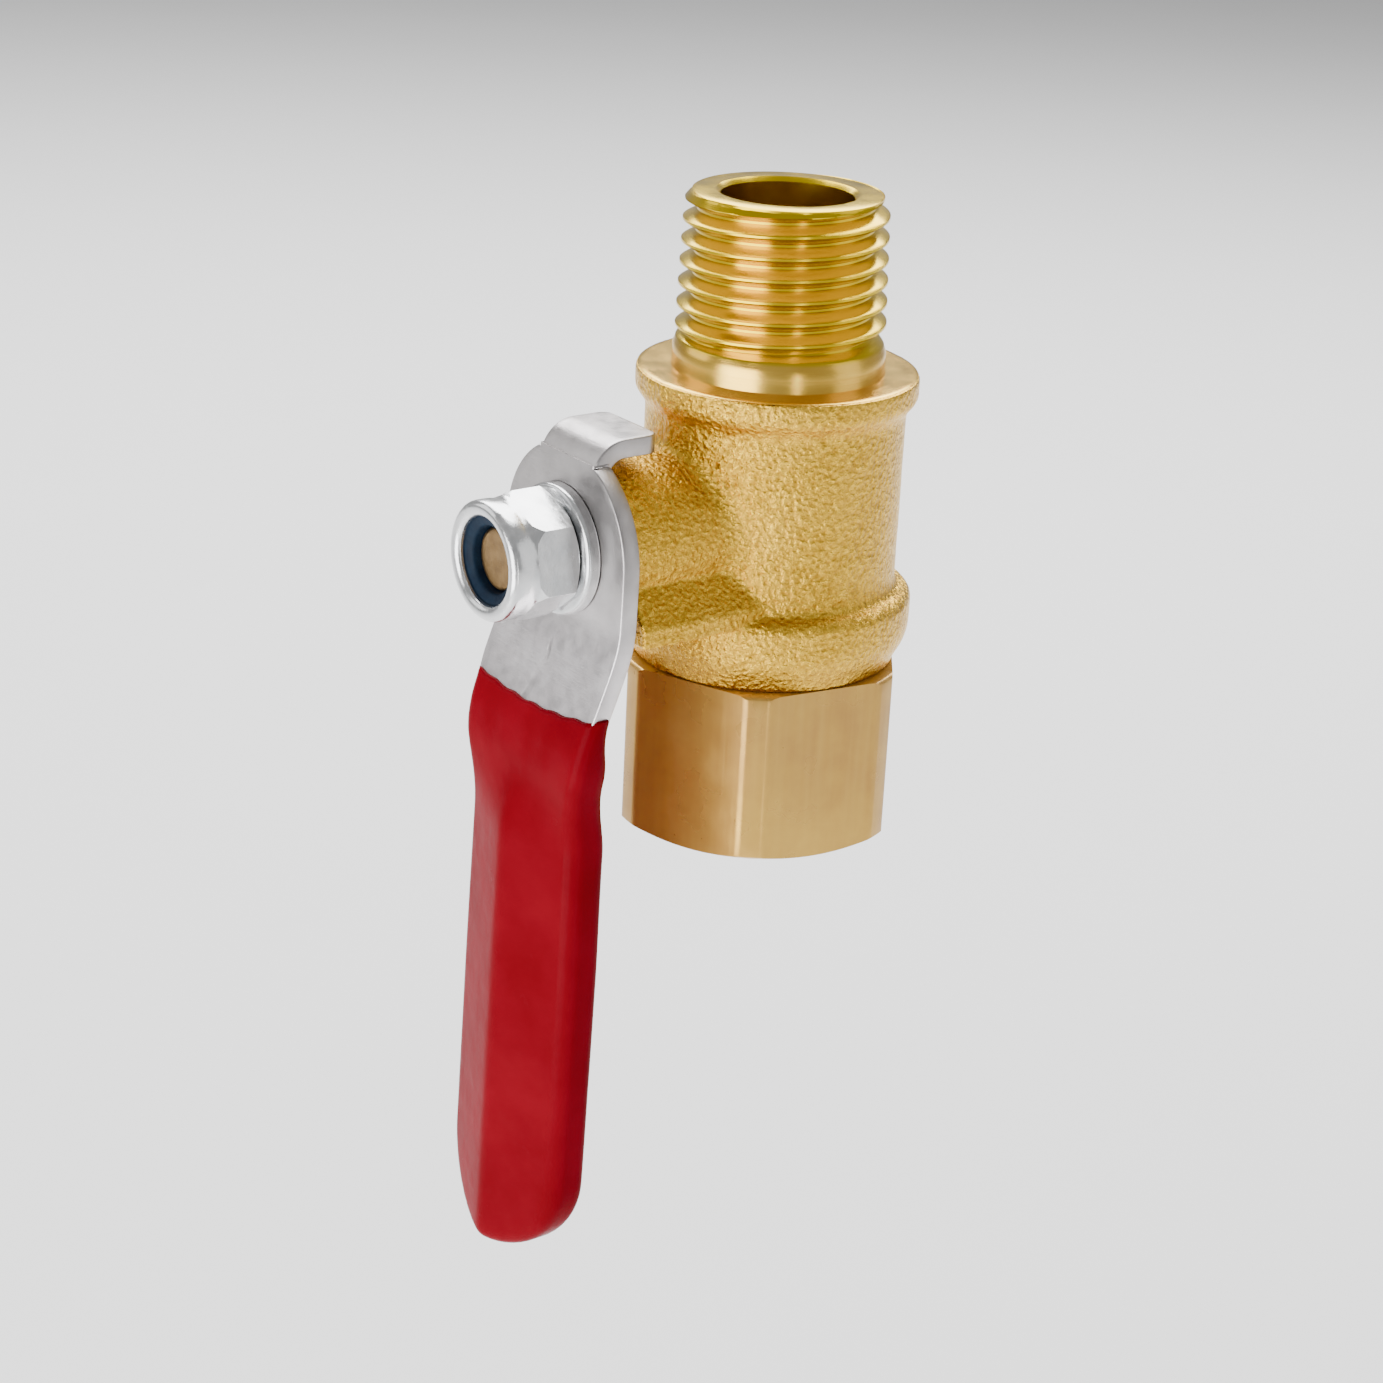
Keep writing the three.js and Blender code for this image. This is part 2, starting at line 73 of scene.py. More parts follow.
# ------------------------------------------------------------- sizes, from CAD


def span(node):
    """Lowest and highest corner of a CAD node, in millimetres."""
    low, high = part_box(node)
    return np.array(low) / MM, np.array(high) / MM


body_low, body_high = span("valve_body")
grip_low, grip_high = span("handle_grip")
washer_low, washer_high = span("plain_washer")
nut_low, nut_high = span("lock_nut")
insert_low, insert_high = span("nut_insert")
stem_low, stem_high = span("stem")

STEM_Z = frame["joints"][0]["pos_m"][2] / MM

# The forging: heights are along the flow axis, ends along the stem are reaches.
TOP = body_high[2]
SEAM = body_low[2]
SHOULDER = TOP - 11.1
LOWER_COLLAR_R = body_high[0]
LOWER_COLLAR_HEIGHT = 4.8
COLLAR_CHAMFER_R = 8.3
COLLAR_CHAMFER = (0.858, 0.515)
UPPER_COLLAR_R = 8.93
UPPER_COLLAR_HEIGHT = 1.75
BARREL_R = 8.28
BOSS_R = 5.1
BOSS_END = -body_low[1]
STOP_END = BOSS_END - 0.2
CLOSED_STOP_START = 4.4
SHELF_START = 6.2
PARTING_LINE = (0.07, 0.4)

# Bores of the forging.
PORT_R = 4.18
CAVITY_R = 6.9
CAVITY_HALF = 6.25
NOSE_BORE_R = 7.25
NOSE_BORE_DEPTH = 3.1
FLANGE_BORE_R = 3.8
FLANGE_BORE_END = 8.65
STEM_BORE_R = 3.03

# The male end: a neck, then a taper thread.
NECK_R = 6.73
THREAD_START = SHOULDER + 1.75
RUNOUT = 0.95
PITCH = 1.337
CREST_R = 6.58
GAUGE_Z = TOP - 6.35
TAPER = 1 / 32
THREAD_DEPTH = 0.84
CREST_AT_ZERO = TOP - 2.74
END_FACE_R = 6.0
END_CHAMFER = 0.16

# The hexagonal end connector.
HEX_FLATS = 17.0
HEX_CORNER_R = 9.42
HEX_TURN = -math.radians(8.4)
HEX_TOP = SEAM - 0.04
HEX_FACE_R = 8.34
HEX_CHAMFER = 0.55
NOSE_R = 7.12
NOSE_ROOT_R = 6.9
SOCKET_R = 5.75
SOCKET_MOUTH_R = 6.56
SOCKET_THREAD_DEPTH = 0.8
SOCKET_THREAD = (0.55, 10.0)

# The lever: a flat head, a cranked blade with a fold, and a tab bent back.
PLATE_T = 1.2
PLATE_FRONT = 15.9
PLATE_MIDDLE = PLATE_FRONT - PLATE_T / 2
HEAD_R = 6.5
SHANK_HALF = 6.4
SHANK_Z = 16.65
WAIST_HALF = 5.2
WAIST_START = 12.65
WAIST_END = 4.15
FLARE = 0.15
FLARE_START = 2.65
FLARE_END = -7.35
TIP_R = 5.35
LEVER_TIP = span("handle_lever")[0][2]
TAB_HALF = 2.9
TAB_END = 11.0
TAB_Z = STEM_Z + 7.3 - PLATE_T / 2
TAB_BEND_R = 1.7
TAB_CORNER = 0.9
CRANK_START = 17.45
CRANK_END = 9.05
CRANK_OFFSET = 2.25
LEAN = 0.035
FOLD_START = 7.25
FOLD_END = 2.45
FOLD_SLOPE = 1.45 / 5.2
FOLD_RISE = 0.85
FOLD_ROUND = 0.35
COAT = 0.7
COAT_LIP = 0.22
COAT_TOP = 11.05
COAT_EDGE = 0.86

# The washer and the lock nut.
WASHER_R = washer_high[0]
NUT_FLATS = 7.0
NUT_TURN = math.radians(8)
NUT_START = -nut_high[1]
NUT_END = -nut_low[1]
NUT_HEX_HEIGHT = 3.1
NUT_FACE_INSET = 0.2
NUT_CHAMFER = 0.52
NUT_CROWN_R = 3.75
NUT_CROWN_ROUND = 0.47
NUT_LIP_R = 2.76
NUT_BORE_R = 2.06

# The stem, its seals and the ball.
STEM_END = -stem_low[1]
STEM_R = 2.95
STEM_NECK_R = 2.1
STEM_THREAD_R = 1.95
STEM_ROOT_R = 1.56
STEM_PITCH = 0.7
FLANGE_R = 3.65
FLANGE_START = 6.75
FLANGE_END = 7.75
GROOVES = {"stem_ring_inner": 9.7, "stem_ring_outer": 11.9}
GROOVE_R = 2.15
GROOVE_WIDTH = 1.2
RING_R = 2.59
RING_WIRE_R = 0.41
TANG_HALF = 1.05
BALL_R = span("ball")[1][0]
BALL_BORE_R = 3.85
BALL_SLOT_HALF = 1.2
SEAT_BORE_R = 3.95
SEAT_R = 6.55
SEAT_START = 3.95
SEAT_END = 6.15


# ------------------------------------------------------------------- meshes


MERGE_DISTANCE = 2e-7


def clean_mesh(name, points, faces):
    """A mesh from millimetre points, its doubled points merged and its faces turned outwards."""
    mesh = bpy.data.meshes.new(name)
    mesh.from_pydata((np.asarray(points) * MM).tolist(), [], [list(face) for face in faces])
    mesh.update()
    clean = bmesh.new()
    clean.from_mesh(mesh)
    bmesh.ops.remove_doubles(clean, verts=clean.verts, dist=MERGE_DISTANCE)
    bmesh.ops.dissolve_degenerate(clean, edges=clean.edges, dist=MERGE_DISTANCE / 2)
    bmesh.ops.recalc_face_normals(clean, faces=clean.faces)
    clean.to_mesh(mesh)
    clean.free()
    return mesh


def add_object(name, data):
    made = bpy.data.objects.new(name, data)
    bpy.context.scene.collection.objects.link(made)
    return made


def smooth(mesh, angle):
    """Smooth shading, with edges sharper than an angle in degrees left sharp."""
    mesh.shade_smooth()
    mesh.set_sharp_from_angle(angle=math.radians(angle))


def piece(name, points, faces, body, replaces=(), smooth_angle=35):
    """A mesh object from millimetre points, riding on a body."""
    mesh = clean_mesh(name, points, faces)
    smooth(mesh, smooth_angle)
    made = add_object(name, mesh)
    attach(made, body)
    if replaces:
        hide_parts(*replaces)
    return made


def cut(target, points, faces):
    """Cuts a closed shape out of a piece and applies the result."""
    cutter = add_object("cutter", clean_mesh("cutter", points, faces))
    modifier = target.modifiers.new("cut", "BOOLEAN")
    modifier.operation = "DIFFERENCE"
    modifier.solver = "EXACT"
    modifier.object = cutter
    bpy.context.view_layer.update()
    result = bpy.data.meshes.new_from_object(target.evaluated_get(bpy.context.evaluated_depsgraph_get()))
    target.modifiers.remove(modifier)
    target.data = result
    bpy.data.objects.remove(cutter)


def grid_faces(rows, columns, wrap):
    """Quads of a rows by columns grid of points, closed round its columns if wrap."""
    last = columns if wrap else columns - 1
    faces = []
    for i in range(rows - 1):
        for j in range(last):
            k = (j + 1) % columns
            faces.append((i * columns + j, i * columns + k, (i + 1) * columns + k, (i + 1) * columns + j))
    return faces


def along_stem(points):
    """Turns points made round +Z into points round the stem: z becomes reach along -Y."""
    points = np.asarray(points)
    return np.stack([points[:, 0], -points[:, 2], STEM_Z + points[:, 1]], 1)


def ring(radius, angles, z):
    """A row of points round Z. Radius and height are numbers, or one for each angle."""
    return np.stack([radius * np.cos(angles), radius * np.sin(angles), np.broadcast_to(z, angles.shape)], 1)


def revolve(profile, segments):
    """Points and faces of a closed [radius, height] profile turned about Z."""
    angles = np.linspace(0, TAU, segments, endpoint=False)
    points = np.concatenate([ring(radius, angles, z) for radius, z in profile])
    return points, grid_faces(len(profile), segments, True)


def rounded(corners, radius, steps=4):
    """A closed profile with every corner rounded, given as [r, z] or [r, z, own radius]."""
    result = []
    count = len(corners)
    for i in range(count):
        here = np.array(corners[i][:2], float)
        before = np.array(corners[i - 1][:2], float) - here
        after = np.array(corners[(i + 1) % count][:2], float) - here
        own = corners[i][2] if len(corners[i]) > 2 else radius
        reach = min(own, 0.45 * np.linalg.norm(before), 0.45 * np.linalg.norm(after))
        start = here + before / np.linalg.norm(before) * reach
        end = here + after / np.linalg.norm(after) * reach
        if reach < 1e-6:
            result.append(here)
            continue
        for k in range(steps + 1):
            t = k / steps
            result.append((1 - t) ** 2 * start + 2 * t * (1 - t) * here + t ** 2 * end)
    result.append(result[0])
    return np.array(result)


def ease(value, start, end):
    """Rises smoothly from 0 at start to 1 at end."""
    t = np.clip((value - start) / (end - start), 0, 1)
    return t * t * (3 - 2 * t)


# ------------------------------------------- solids from fields of distances


def soft_min(a, b, size):
    """The smaller of two distances, with a fillet where they meet."""
    h = np.maximum(size - np.abs(a - b), 0) / size
    return np.minimum(a, b) - h * h * size / 4


def soft_max(a, b, size):
    """The larger of two distances, with a rounded edge where they meet."""
    return -soft_min(-a, -b, size)


def disc(radius, height, r_limit, low, high, edge):
    """Distance to a cylinder with rounded edges, from radius and height along its axis."""
    out_r = radius - r_limit + edge
    out_z = np.abs(height - (low + high) / 2) - (high - low) / 2 + edge
    outside = np.hypot(np.maximum(out_r, 0), np.maximum(out_z, 0))
    return outside + np.minimum(np.maximum(out_r, out_z), 0) - edge


def outline_distance(u, v, corners):
    """Distance to a closed outline in a plane, negative inside."""
    corners = np.asarray(corners, float)
    best = np.full(u.shape, 1e9)
    inside = np.zeros(u.shape, bool)
    for i in range(len(corners)):
        a, b = corners[i], corners[i - 1]
        edge = b - a
        pu, pv = u - a[0], v - a[1]
        t = np.clip((pu * edge[0] + pv * edge[1]) / (edge @ edge), 0, 1)
        best = np.minimum(best, (pu - edge[0] * t) ** 2 + (pv - edge[1] * t) ** 2)
        crosses = (a[1] > v) != (b[1] > v)
        rise = b[1] - a[1] if b[1] != a[1] else 1e-9
        inside ^= crosses & (u < (b[0] - a[0]) * (v - a[1]) / rise + a[0])
    return np.sqrt(best) * np.where(inside, -1, 1)


def prism(u, v, w, corners, low, high, edge):
    """Distance to an outline pushed from low to high along w, with rounded edges."""
    side = outline_distance(u, v, corners) + edge
    end = np.abs(w - (low + high) / 2) - (high - low) / 2 + edge
    outside = np.hypot(np.maximum(side, 0), np.maximum(end, 0))
    return outside + np.minimum(np.maximum(side, end), 0) - edge


def gradient(field, points, nudge):
    """Rate of change of a field along each axis, over a nudge to either side."""
    slope = np.zeros_like(points)
    for axis in range(3):
        offset = np.zeros(3)
        offset[axis] = nudge
        slope[:, axis] = (field(points + offset) - field(points - offset)) / (2 * nudge)
    return slope


def surface(field, low, high, step):
    """Points and quads of the surface where field is zero, moved exactly onto it."""
    axes = [np.arange(low[k], high[k] + step, step) for k in range(3)]
    nodes = np.stack(np.meshgrid(*axes, indexing="ij"), -1)
    value = field(nodes)
    cells = tuple(n - 1 for n in value.shape)
    total = np.zeros(cells + (3,))
    count = np.zeros(cells)
    crossings = []
    for axis in range(3):
        first = [slice(None)] * 3
        second = [slice(None)] * 3
        first[axis], second[axis] = slice(0, -1), slice(1, None)
        a, b = value[tuple(first)], value[tuple(second)]
        crossed = (a < 0) != (b < 0)
        index = np.argwhere(crossed)
        share = a[crossed] / (a[crossed] - b[crossed])
        position = index.astype(float)
        position[:, axis] += share
        others = [k for k in range(3) if k != axis]
        for du in (0, 1):
            for dv in (0, 1):
                cell = index.copy()
                cell[:, others[0]] -= du
                cell[:, others[1]] -= dv
                valid = np.all((cell >= 0) & (cell < np.array(cells)), 1)
                flat = np.ravel_multi_index(cell[valid].T, cells)
                for k in range(3):
                    np.add.at(total.reshape(-1, 3)[:, k], flat, position[valid][:, k])
                np.add.at(count.reshape(-1), flat, 1)
        crossings.append((axis, others, index, a[crossed] < 0))
    used = count > 0
    label = np.full(cells, -1)
    label[used] = np.arange(used.sum())
    points = total[used] / count[used][:, None] * step + np.array(low)
    quads = []
    for axis, others, index, inward in crossings:
        inner = np.all((index[:, others] > 0) & (index[:, others] < np.array(cells)[others]), 1)
        index, inward = index[inner], inward[inner]
        corner = []
        for du, dv in ((0, 0), (1, 0), (1, 1), (0, 1)):
            cell = index.copy()
            cell[:, others[0]] -= du
            cell[:, others[1]] -= dv
            corner.append(label[tuple(cell.T)])
        quad = np.stack(corner, 1)
        flip = inward if axis == 1 else ~inward
        quad[flip] = quad[flip][:, ::-1]
        quads.append(quad)
    for _ in range(4):
        slope = gradient(field, points, 0.002)
        move = field(points)[:, None] * slope / np.maximum((slope ** 2).sum(1), 0.05)[:, None]
        length = np.linalg.norm(move, axis=1)[:, None]
        points = points - move * np.minimum(1, 0.4 * step / np.maximum(length, 1e-9))
    return points, np.concatenate(quads)


def lumps(points, size, seed):
    """Smooth random heights between about -1 and 1, on a lattice of that size."""
    side = 32
    table = np.random.default_rng(seed).uniform(-1, 1, (side, side, side))
    scaled = points / size
    base = np.floor(scaled).astype(int)
    t = ease(scaled - base, 0, 1)
    result = 0
    for corner in np.ndindex(2, 2, 2):
        weight = np.prod([t[:, k] if corner[k] else 1 - t[:, k] for k in range(3)], 0)
        cell = (base + np.array(corner)) % side
        result = result + weight * table[cell[:, 0], cell[:, 1], cell[:, 2]]
    return result


# ---------------------------------------------------------------- the forging

# Outlines across the stem: x, then height above the stem's axis.
CLOSED_STOP = [(2.5, -4.95), (6.55, -4.95), (6.55, -3.75), (4.95, -1.75), (4.2, -1.4), (2.5, -2.0)]
OPEN_SHELF = [(-4.95, 2.5), (-1.5, 2.5), (-1.5, 4.7), (-4.4, 4.7), (-4.95, 4.2)]
OPEN_STOP = [(-4.7, 4.0), (-1.8, 4.0), (-1.8, 4.75), (-3.15, 5.1), (-3.2, 6.3), (-3.4, 6.5), (-3.9, 6.5)]


def forging_skin(p):
    """Outside of the forging, before it is machined."""
    x, reach, z = p[..., 0], -p[..., 1], p[..., 2]
    r = np.hypot(x, reach)
    above = z - STEM_Z
    from_stem = np.hypot(x, above)
    barrel = disc(r, z, BARREL_R, SEAM, SHOULDER + 2, 0.1)
    collar = disc(r, z, LOWER_COLLAR_R, SEAM - 2, SEAM + LOWER_COLLAR_HEIGHT, 0.8)
    cone = COLLAR_CHAMFER[0] * (r - COLLAR_CHAMFER_R) - COLLAR_CHAMFER[1] * (z - SEAM)
    collar = soft_max(collar, cone, 0.55)
    rim = disc(r, z, UPPER_COLLAR_R, SHOULDER - UPPER_COLLAR_HEIGHT, SHOULDER + 0.12, 0.6)
    boss = disc(from_stem, reach, BOSS_R, 0, BOSS_END, 0.35)
    closed = prism(x, above, reach, CLOSED_STOP, CLOSED_STOP_START, STOP_END, 0.18)
    shelf = prism(x, above, reach, OPEN_SHELF, SHELF_START, STOP_END, 0.25)
    upright = prism(x, above, reach, OPEN_STOP, TAB_END - 0.3, STOP_END, 0.25)
    skin = soft_min(barrel, collar, 0.7)
    skin = soft_min(skin, rim, 1.1)
    skin = soft_min(skin, boss, 0.9)
    skin = soft_min(skin, closed, 0.22)
    skin = soft_min(skin, soft_min(shelf, upright, 0.3), 0.3)
    proud, half_width = PARTING_LINE
    return skin - proud * np.exp(-((x / half_width) ** 2))


def forging(p):
    """The forging with its machined faces and bores."""
    x, reach, z = p[..., 0], -p[..., 1], p[..., 2]
    r = np.hypot(x, reach)
    from_stem = np.hypot(x, z - STEM_Z)
    skin = soft_max(forging_skin(p), z - SHOULDER, 0.16)
    skin = soft_max(skin, SEAM - z, 0.1)
    bores = [
        disc(r, z, CAVITY_R, 0, STEM_Z + CAVITY_HALF, 0.02),
        disc(r, z, NOSE_BORE_R, 0, SEAM + NOSE_BORE_DEPTH, 0.02),
        r - PORT_R,
        disc(from_stem, reach, FLANGE_BORE_R, 0, FLANGE_BORE_END, 0.02),
        disc(from_stem, reach, STEM_BORE_R, 0, 20, 0.02),
    ]
    cavity = np.minimum.reduce(bores)
    return soft_max(skin, -cavity, 0.08)


def build_forging():
    """The forged body, uneven where the die and the shot have left it."""
    step = 0.19
    margin = 0.5
    low = np.array([-LOWER_COLLAR_R, -BOSS_END, SEAM]) - margin
    high = np.array([LOWER_COLLAR_R, LOWER_COLLAR_R, SHOULDER]) + margin
    points, faces = surface(forging, low, high, step)
    depth = np.abs(forging_skin(points))
    between = (points[:, 2] < SHOULDER - 0.2) * (points[:, 2] > SEAM + 0.15)
    cast = np.clip(1 - depth / 0.05, 0, 1) * between
    grain = 0.012 * lumps(points, 0.5, 3) + 0.014 * lumps(points, 1.6, 4)
    outward = gradient(forging, points, 0.05)
    outward /= np.maximum(np.linalg.norm(outward, axis=1), 1e-9)[:, None]
    points = points + outward * (cast * grain)[:, None]
    piece("body_forging", points, faces, "valve_body", ["valve_body"], 60)


# ------------------------------------------------------------ turned threads


def thread_height(phase):
    """Height of a rounded pipe thread over its root, for a phase of 0 to 1."""
    along = np.abs((phase % 1.0) - 0.5) * 2
    return ease(1 - along, 0.1, 0.9) * 0.35 + np.clip((1 - along - 0.12) / 0.76, 0, 1) * 0.65


def male_thread_radius(z, angles):
    """Radius of the taper thread, from its runout at the neck to its chamfered end."""
    phase = (z - CREST_AT_ZERO - angles / TAU * PITCH) / PITCH + 0.5
    crest = CREST_R - (z - GAUGE_Z) * TAPER
    radius = crest - THREAD_DEPTH + THREAD_DEPTH * thread_height(phase)
    runout = ease(z, THREAD_START, THREAD_START + RUNOUT)
    radius = (1 - runout) * (NECK_R - 0.12) + runout * radius
    undercut = np.exp(-(((z - THREAD_START - 0.38) / 0.26) ** 2)) * 0.28
    radius = radius - undercut * (1 - 0.5 * runout)
    chamfer = END_FACE_R + np.maximum(TOP - END_CHAMFER - z, 0) * 0.8
    return np.minimum(radius, np.minimum(chamfer, crest))


def build_male_thread():
    """The tapered male end: helical thread, runout, plain neck, end face and bore."""
    columns = 216
    per_pitch = 20
    angles = np.linspace(0, TAU, columns + 1)
    inner_end = SHOULDER - 0.3
    neck = [(PORT_R, inner_end), (NECK_R + 0.05, inner_end), (NECK_R + 0.05, SHOULDER + 0.06),
            (NECK_R, SHOULDER + 0.2), (NECK_R, SHOULDER + 0.8), (NECK_R - 0.02, SHOULDER + 1.35),
            (NECK_R - 0.09, SHOULDER + 1.5)]
    rows = [ring(radius, angles, z) for radius, z in neck]
    turns = math.ceil((TOP - THREAD_START) / PITCH) + 2
    for i in range(turns * per_pitch + 1):
        start = THREAD_START - PITCH + i / per_pitch * PITCH
        z = np.clip(start + angles / TAU * PITCH, THREAD_START, TOP)
        rows.append(ring(male_thread_radius(z, angles), angles, z))
    bore = [(END_FACE_R - 0.07, TOP - 0.06), (END_FACE_R - 0.18, TOP), (PORT_R + 0.3, TOP),
            (PORT_R + 0.22, TOP - 0.06), (PORT_R, TOP - 0.28), (PORT_R, inner_end)]
    rows += [ring(radius, angles, z) for radius, z in bore]
    faces = grid_faces(len(rows), columns + 1, False)
    piece("body_male_thread", np.concatenate(rows), faces, "valve_body", [], 32)


# -------------------------------------------------------------- hexagon pieces


def hexagon_rows(flats, turn, profile, flat_steps, arc_steps):
    """Rows of points of a hexagon cut by a turned profile, exact where the two meet."""
    half = flats / 2
    sector = TAU / 6
    rows = []
    for limit, z in profile:
        edge = math.acos(min(1, half / limit)) if limit > half else 0
        edge = min(max(edge, 0.03), sector / 2 - 0.004)
        row = []
        for side in range(6):
            local = np.concatenate([
                np.linspace(-edge, edge, 2 * flat_steps + 1),
                np.linspace(edge, sector - edge, arc_steps + 2)[1:-1],
            ])
            from_flat = np.where(local > edge, sector - local, local)
            radius = np.minimum(half / np.cos(from_flat), limit)
            row.append(ring(radius, turn + side * sector + local, z))
        rows.append(np.concatenate(row))
    return rows


def ring_rows(profile, like):
    """Rows of round points at the same angles as a hexagon row."""
    angles = np.arctan2(like[:, 1], like[:, 0])
    return [ring(radius, angles, z) for radius, z in profile]


def build_end_connector():
    """The hexagonal end, with its nose inside the body and its threaded socket."""
    corner = HEX_CORNER_R
    lip = 0.02
    outside = [(HEX_FACE_R - 0.14, 0.0), (HEX_FACE_R, lip)]
    for t in np.linspace(0.1, 0.93, 12):
        outside.append((HEX_FACE_R + (corner - HEX_FACE_R) * t, lip + HEX_CHAMFER * t))
    outside += [(corner - 0.015, 0.59), (corner, 0.68)]
    outside += [(corner, z) for z in np.linspace(1.6, HEX_TOP - 0.9, 6)]
    outside += [(corner, HEX_TOP - 0.3), (corner - 0.03, HEX_TOP - 0.18), (corner - 0.16, HEX_TOP - 0.05),
                (corner - 0.3, HEX_TOP)]
    steps = ((14, 7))
    rows = hexagon_rows(HEX_FLATS, HEX_TURN, outside, *steps)
    first = rows[0]
    nose_end = SEAM + 3.0
    nose = [(7.3, HEX_TOP), (NOSE_ROOT_R, HEX_TOP + 0.02), (NOSE_ROOT_R, SEAM + 0.3), (NOSE_R, SEAM + 0.55),
            (NOSE_R, nose_end - 0.3), (NOSE_ROOT_R, nose_end), (PORT_R, nose_end)]
    low, high = SOCKET_THREAD
    drill_point = [(PORT_R, high + 0.9), (SOCKET_R - 0.1, high + 0.2)]
    rows += ring_rows(nose + drill_point, first)
    angles = np.arctan2(first[:, 1], first[:, 0])
    for z in np.linspace(high, low, 120):
        fade = ease(z, low, low + 0.5) * ease(-z, -high, -high + 0.8)
        depth = SOCKET_THREAD_DEPTH * thread_height(z / PITCH - angles / TAU) * fade
        rows.append(ring(SOCKET_R + depth, angles, z))
    rows += ring_rows([(SOCKET_MOUTH_R - 0.11, 0.06), (SOCKET_MOUTH_R, 0.0)], first)
    rows.append(first)
    faces = grid_faces(len(rows), len(first), True)
    piece("hex_end", np.concatenate(rows), faces, "valve_body", ["end_connector"], 30)


def build_nut():
    """M4 lock nut: hexagon with both ends chamfered, and a rolled crown."""
    corner = NUT_FLATS / math.sqrt(3)
    start, end = NUT_START, NUT_END
    top = start + NUT_HEX_HEIGHT
    face = NUT_FLATS / 2 - NUT_FACE_INSET
    outside = [(face - 0.08, start), (face, start + 0.02)]
    outside += [(face + (corner - face) * t, start + 0.02 + NUT_CHAMFER * t) for t in np.linspace(0.12, 1, 9)]
    outside += [(corner, start + 1.2), (corner, top - 1.2)]
    for t in np.linspace(0, 1, 11):
        outside.append((corner - (corner - NUT_CROWN_R) * t ** 1.2, top - 0.62 + 0.56 * t))
    steps = ((9, 6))
    rows = hexagon_rows(NUT_FLATS, NUT_TURN, outside, *steps)
    crown, curl = NUT_CROWN_R, NUT_CROWN_ROUND
    rolled = [(crown - 0.05, top + 0.12), (crown - 0.07, top + 0.3), (crown - 0.04, top + 0.55),
              (crown, top + 0.75), (crown, end - 0.62)]
    for a in np.linspace(0.12, TAU / 4, 9):
        rolled.append((crown - curl + curl * math.cos(a), end - curl + curl * math.sin(a)))
    lip, bore = NUT_LIP_R, NUT_BORE_R
    rolled += [(lip + 0.34, end - 0.02), (lip + 0.16, end - 0.1), (lip + 0.04, end - 0.22), (lip, end - 0.34),
               (lip, end - 0.5), (lip + 0.19, end - 0.52), (lip + 0.19, end - 1.62), (bore, end - 1.65),
               (bore, start + 0.2), (bore + 0.25, start)]
    rows += ring_rows(rolled, rows[0])
    rows.append(rows[0])
    points = along_stem(np.concatenate(rows))
    faces = grid_faces(len(rows), len(rows[0]), True)
    piece("lock_nut_fine", points, faces, "lever", ["lock_nut"], 28)


# --------------------------------------------------------------- round pieces


def turned_on_stem(name, corners, edge, replaces):
    """A turned piece round the stem, riding with it, its corners rounded by edge."""
    points, faces = revolve(rounded(corners, edge), 120)
    piece(name, along_stem(points), faces, "lever", [replaces], 40)


def build_washer():
    start, end = -washer_high[1], -washer_low[1]
    bore = 2.2
    corners = [(bore, start), (WASHER_R, start, 0.1), (WASHER_R, end, 0.3), (bore, end)]
    turned_on_stem("washer_fine", corners, 0.08, "plain_washer")


def build_insert():
    start, end = -insert_high[1], -insert_low[1]
    outer = 2.9
    corners = [(2.0, start), (outer, start), (outer, end, 0.05), (2.55, end, 0.15), (2.08, end - 0.22, 0.2)]
    turned_on_stem("insert_fine", corners, 0.05, "nut_insert")


def block(outline, low, high, edge=0.12):
    """Points and faces of an outline pushed along Z, its rims bevelled."""
    outline = np.asarray(outline, float)
    rows = []
    for inset, z in ((edge, low), (0, low + edge), (0, high - edge), (edge, high)):
        scale = 1 - inset / np.abs(outline).max(0)
        rows.append(np.column_stack([outline * scale, np.full(len(outline), z)]))
    count = len(outline)
    faces = grid_faces(4, count, True)
    faces.append(tuple(range(count))[::-1])
    faces.append(tuple(range(3 * count, 4 * count)))
    return np.concatenate(rows), faces


def box_outline(half_x, half_y):
    return [(-half_x, -half_y), (half_x, -half_y), (half_x, half_y), (-half_x, half_y)]


def stem_profile():
    """Half section of the stem from its flange to its crowned end."""
    profile = [(0.001, FLANGE_START), (FLANGE_R - 0.05, FLANGE_START), (FLANGE_R, FLANGE_START + 0.05),
               (FLANGE_R, FLANGE_END - 0.05), (FLANGE_R - 0.05, FLANGE_END), (STEM_R, FLANGE_END)]
    for low in GROOVES.values():
        high = low + GROOVE_WIDTH
        profile += [(STEM_R, low), (GROOVE_R, low), (GROOVE_R, high), (STEM_R, high)]
    profile += [(STEM_R, 14.55), (STEM_NECK_R, 14.7), (STEM_NECK_R, PLATE_FRONT)]
    tooth = [(STEM_ROOT_R, 0.05), (1.92, 0.42), (STEM_THREAD_R, 0.5), (1.92, 0.58), (STEM_ROOT_R, 0.95)]
    z = PLATE_FRONT + 0.2
    while z + STEM_PITCH < STEM_END - 0.35:
        profile += [(radius, z + STEM_PITCH * share) for radius, share in tooth]
        z += STEM_PITCH
    profile += [(STEM_THREAD_R, STEM_END - 0.24), (STEM_THREAD_R - 0.03, STEM_END - 0.1),
                (STEM_THREAD_R - 0.14, STEM_END - 0.02), (STEM_THREAD_R - 0.3, STEM_END)]
    profile += [(r, STEM_END - 0.03 * (1 - r / 1.6) ** 2) for r in (1.3, 0.9, 0.5, 0.2, 0.001)]
    return profile


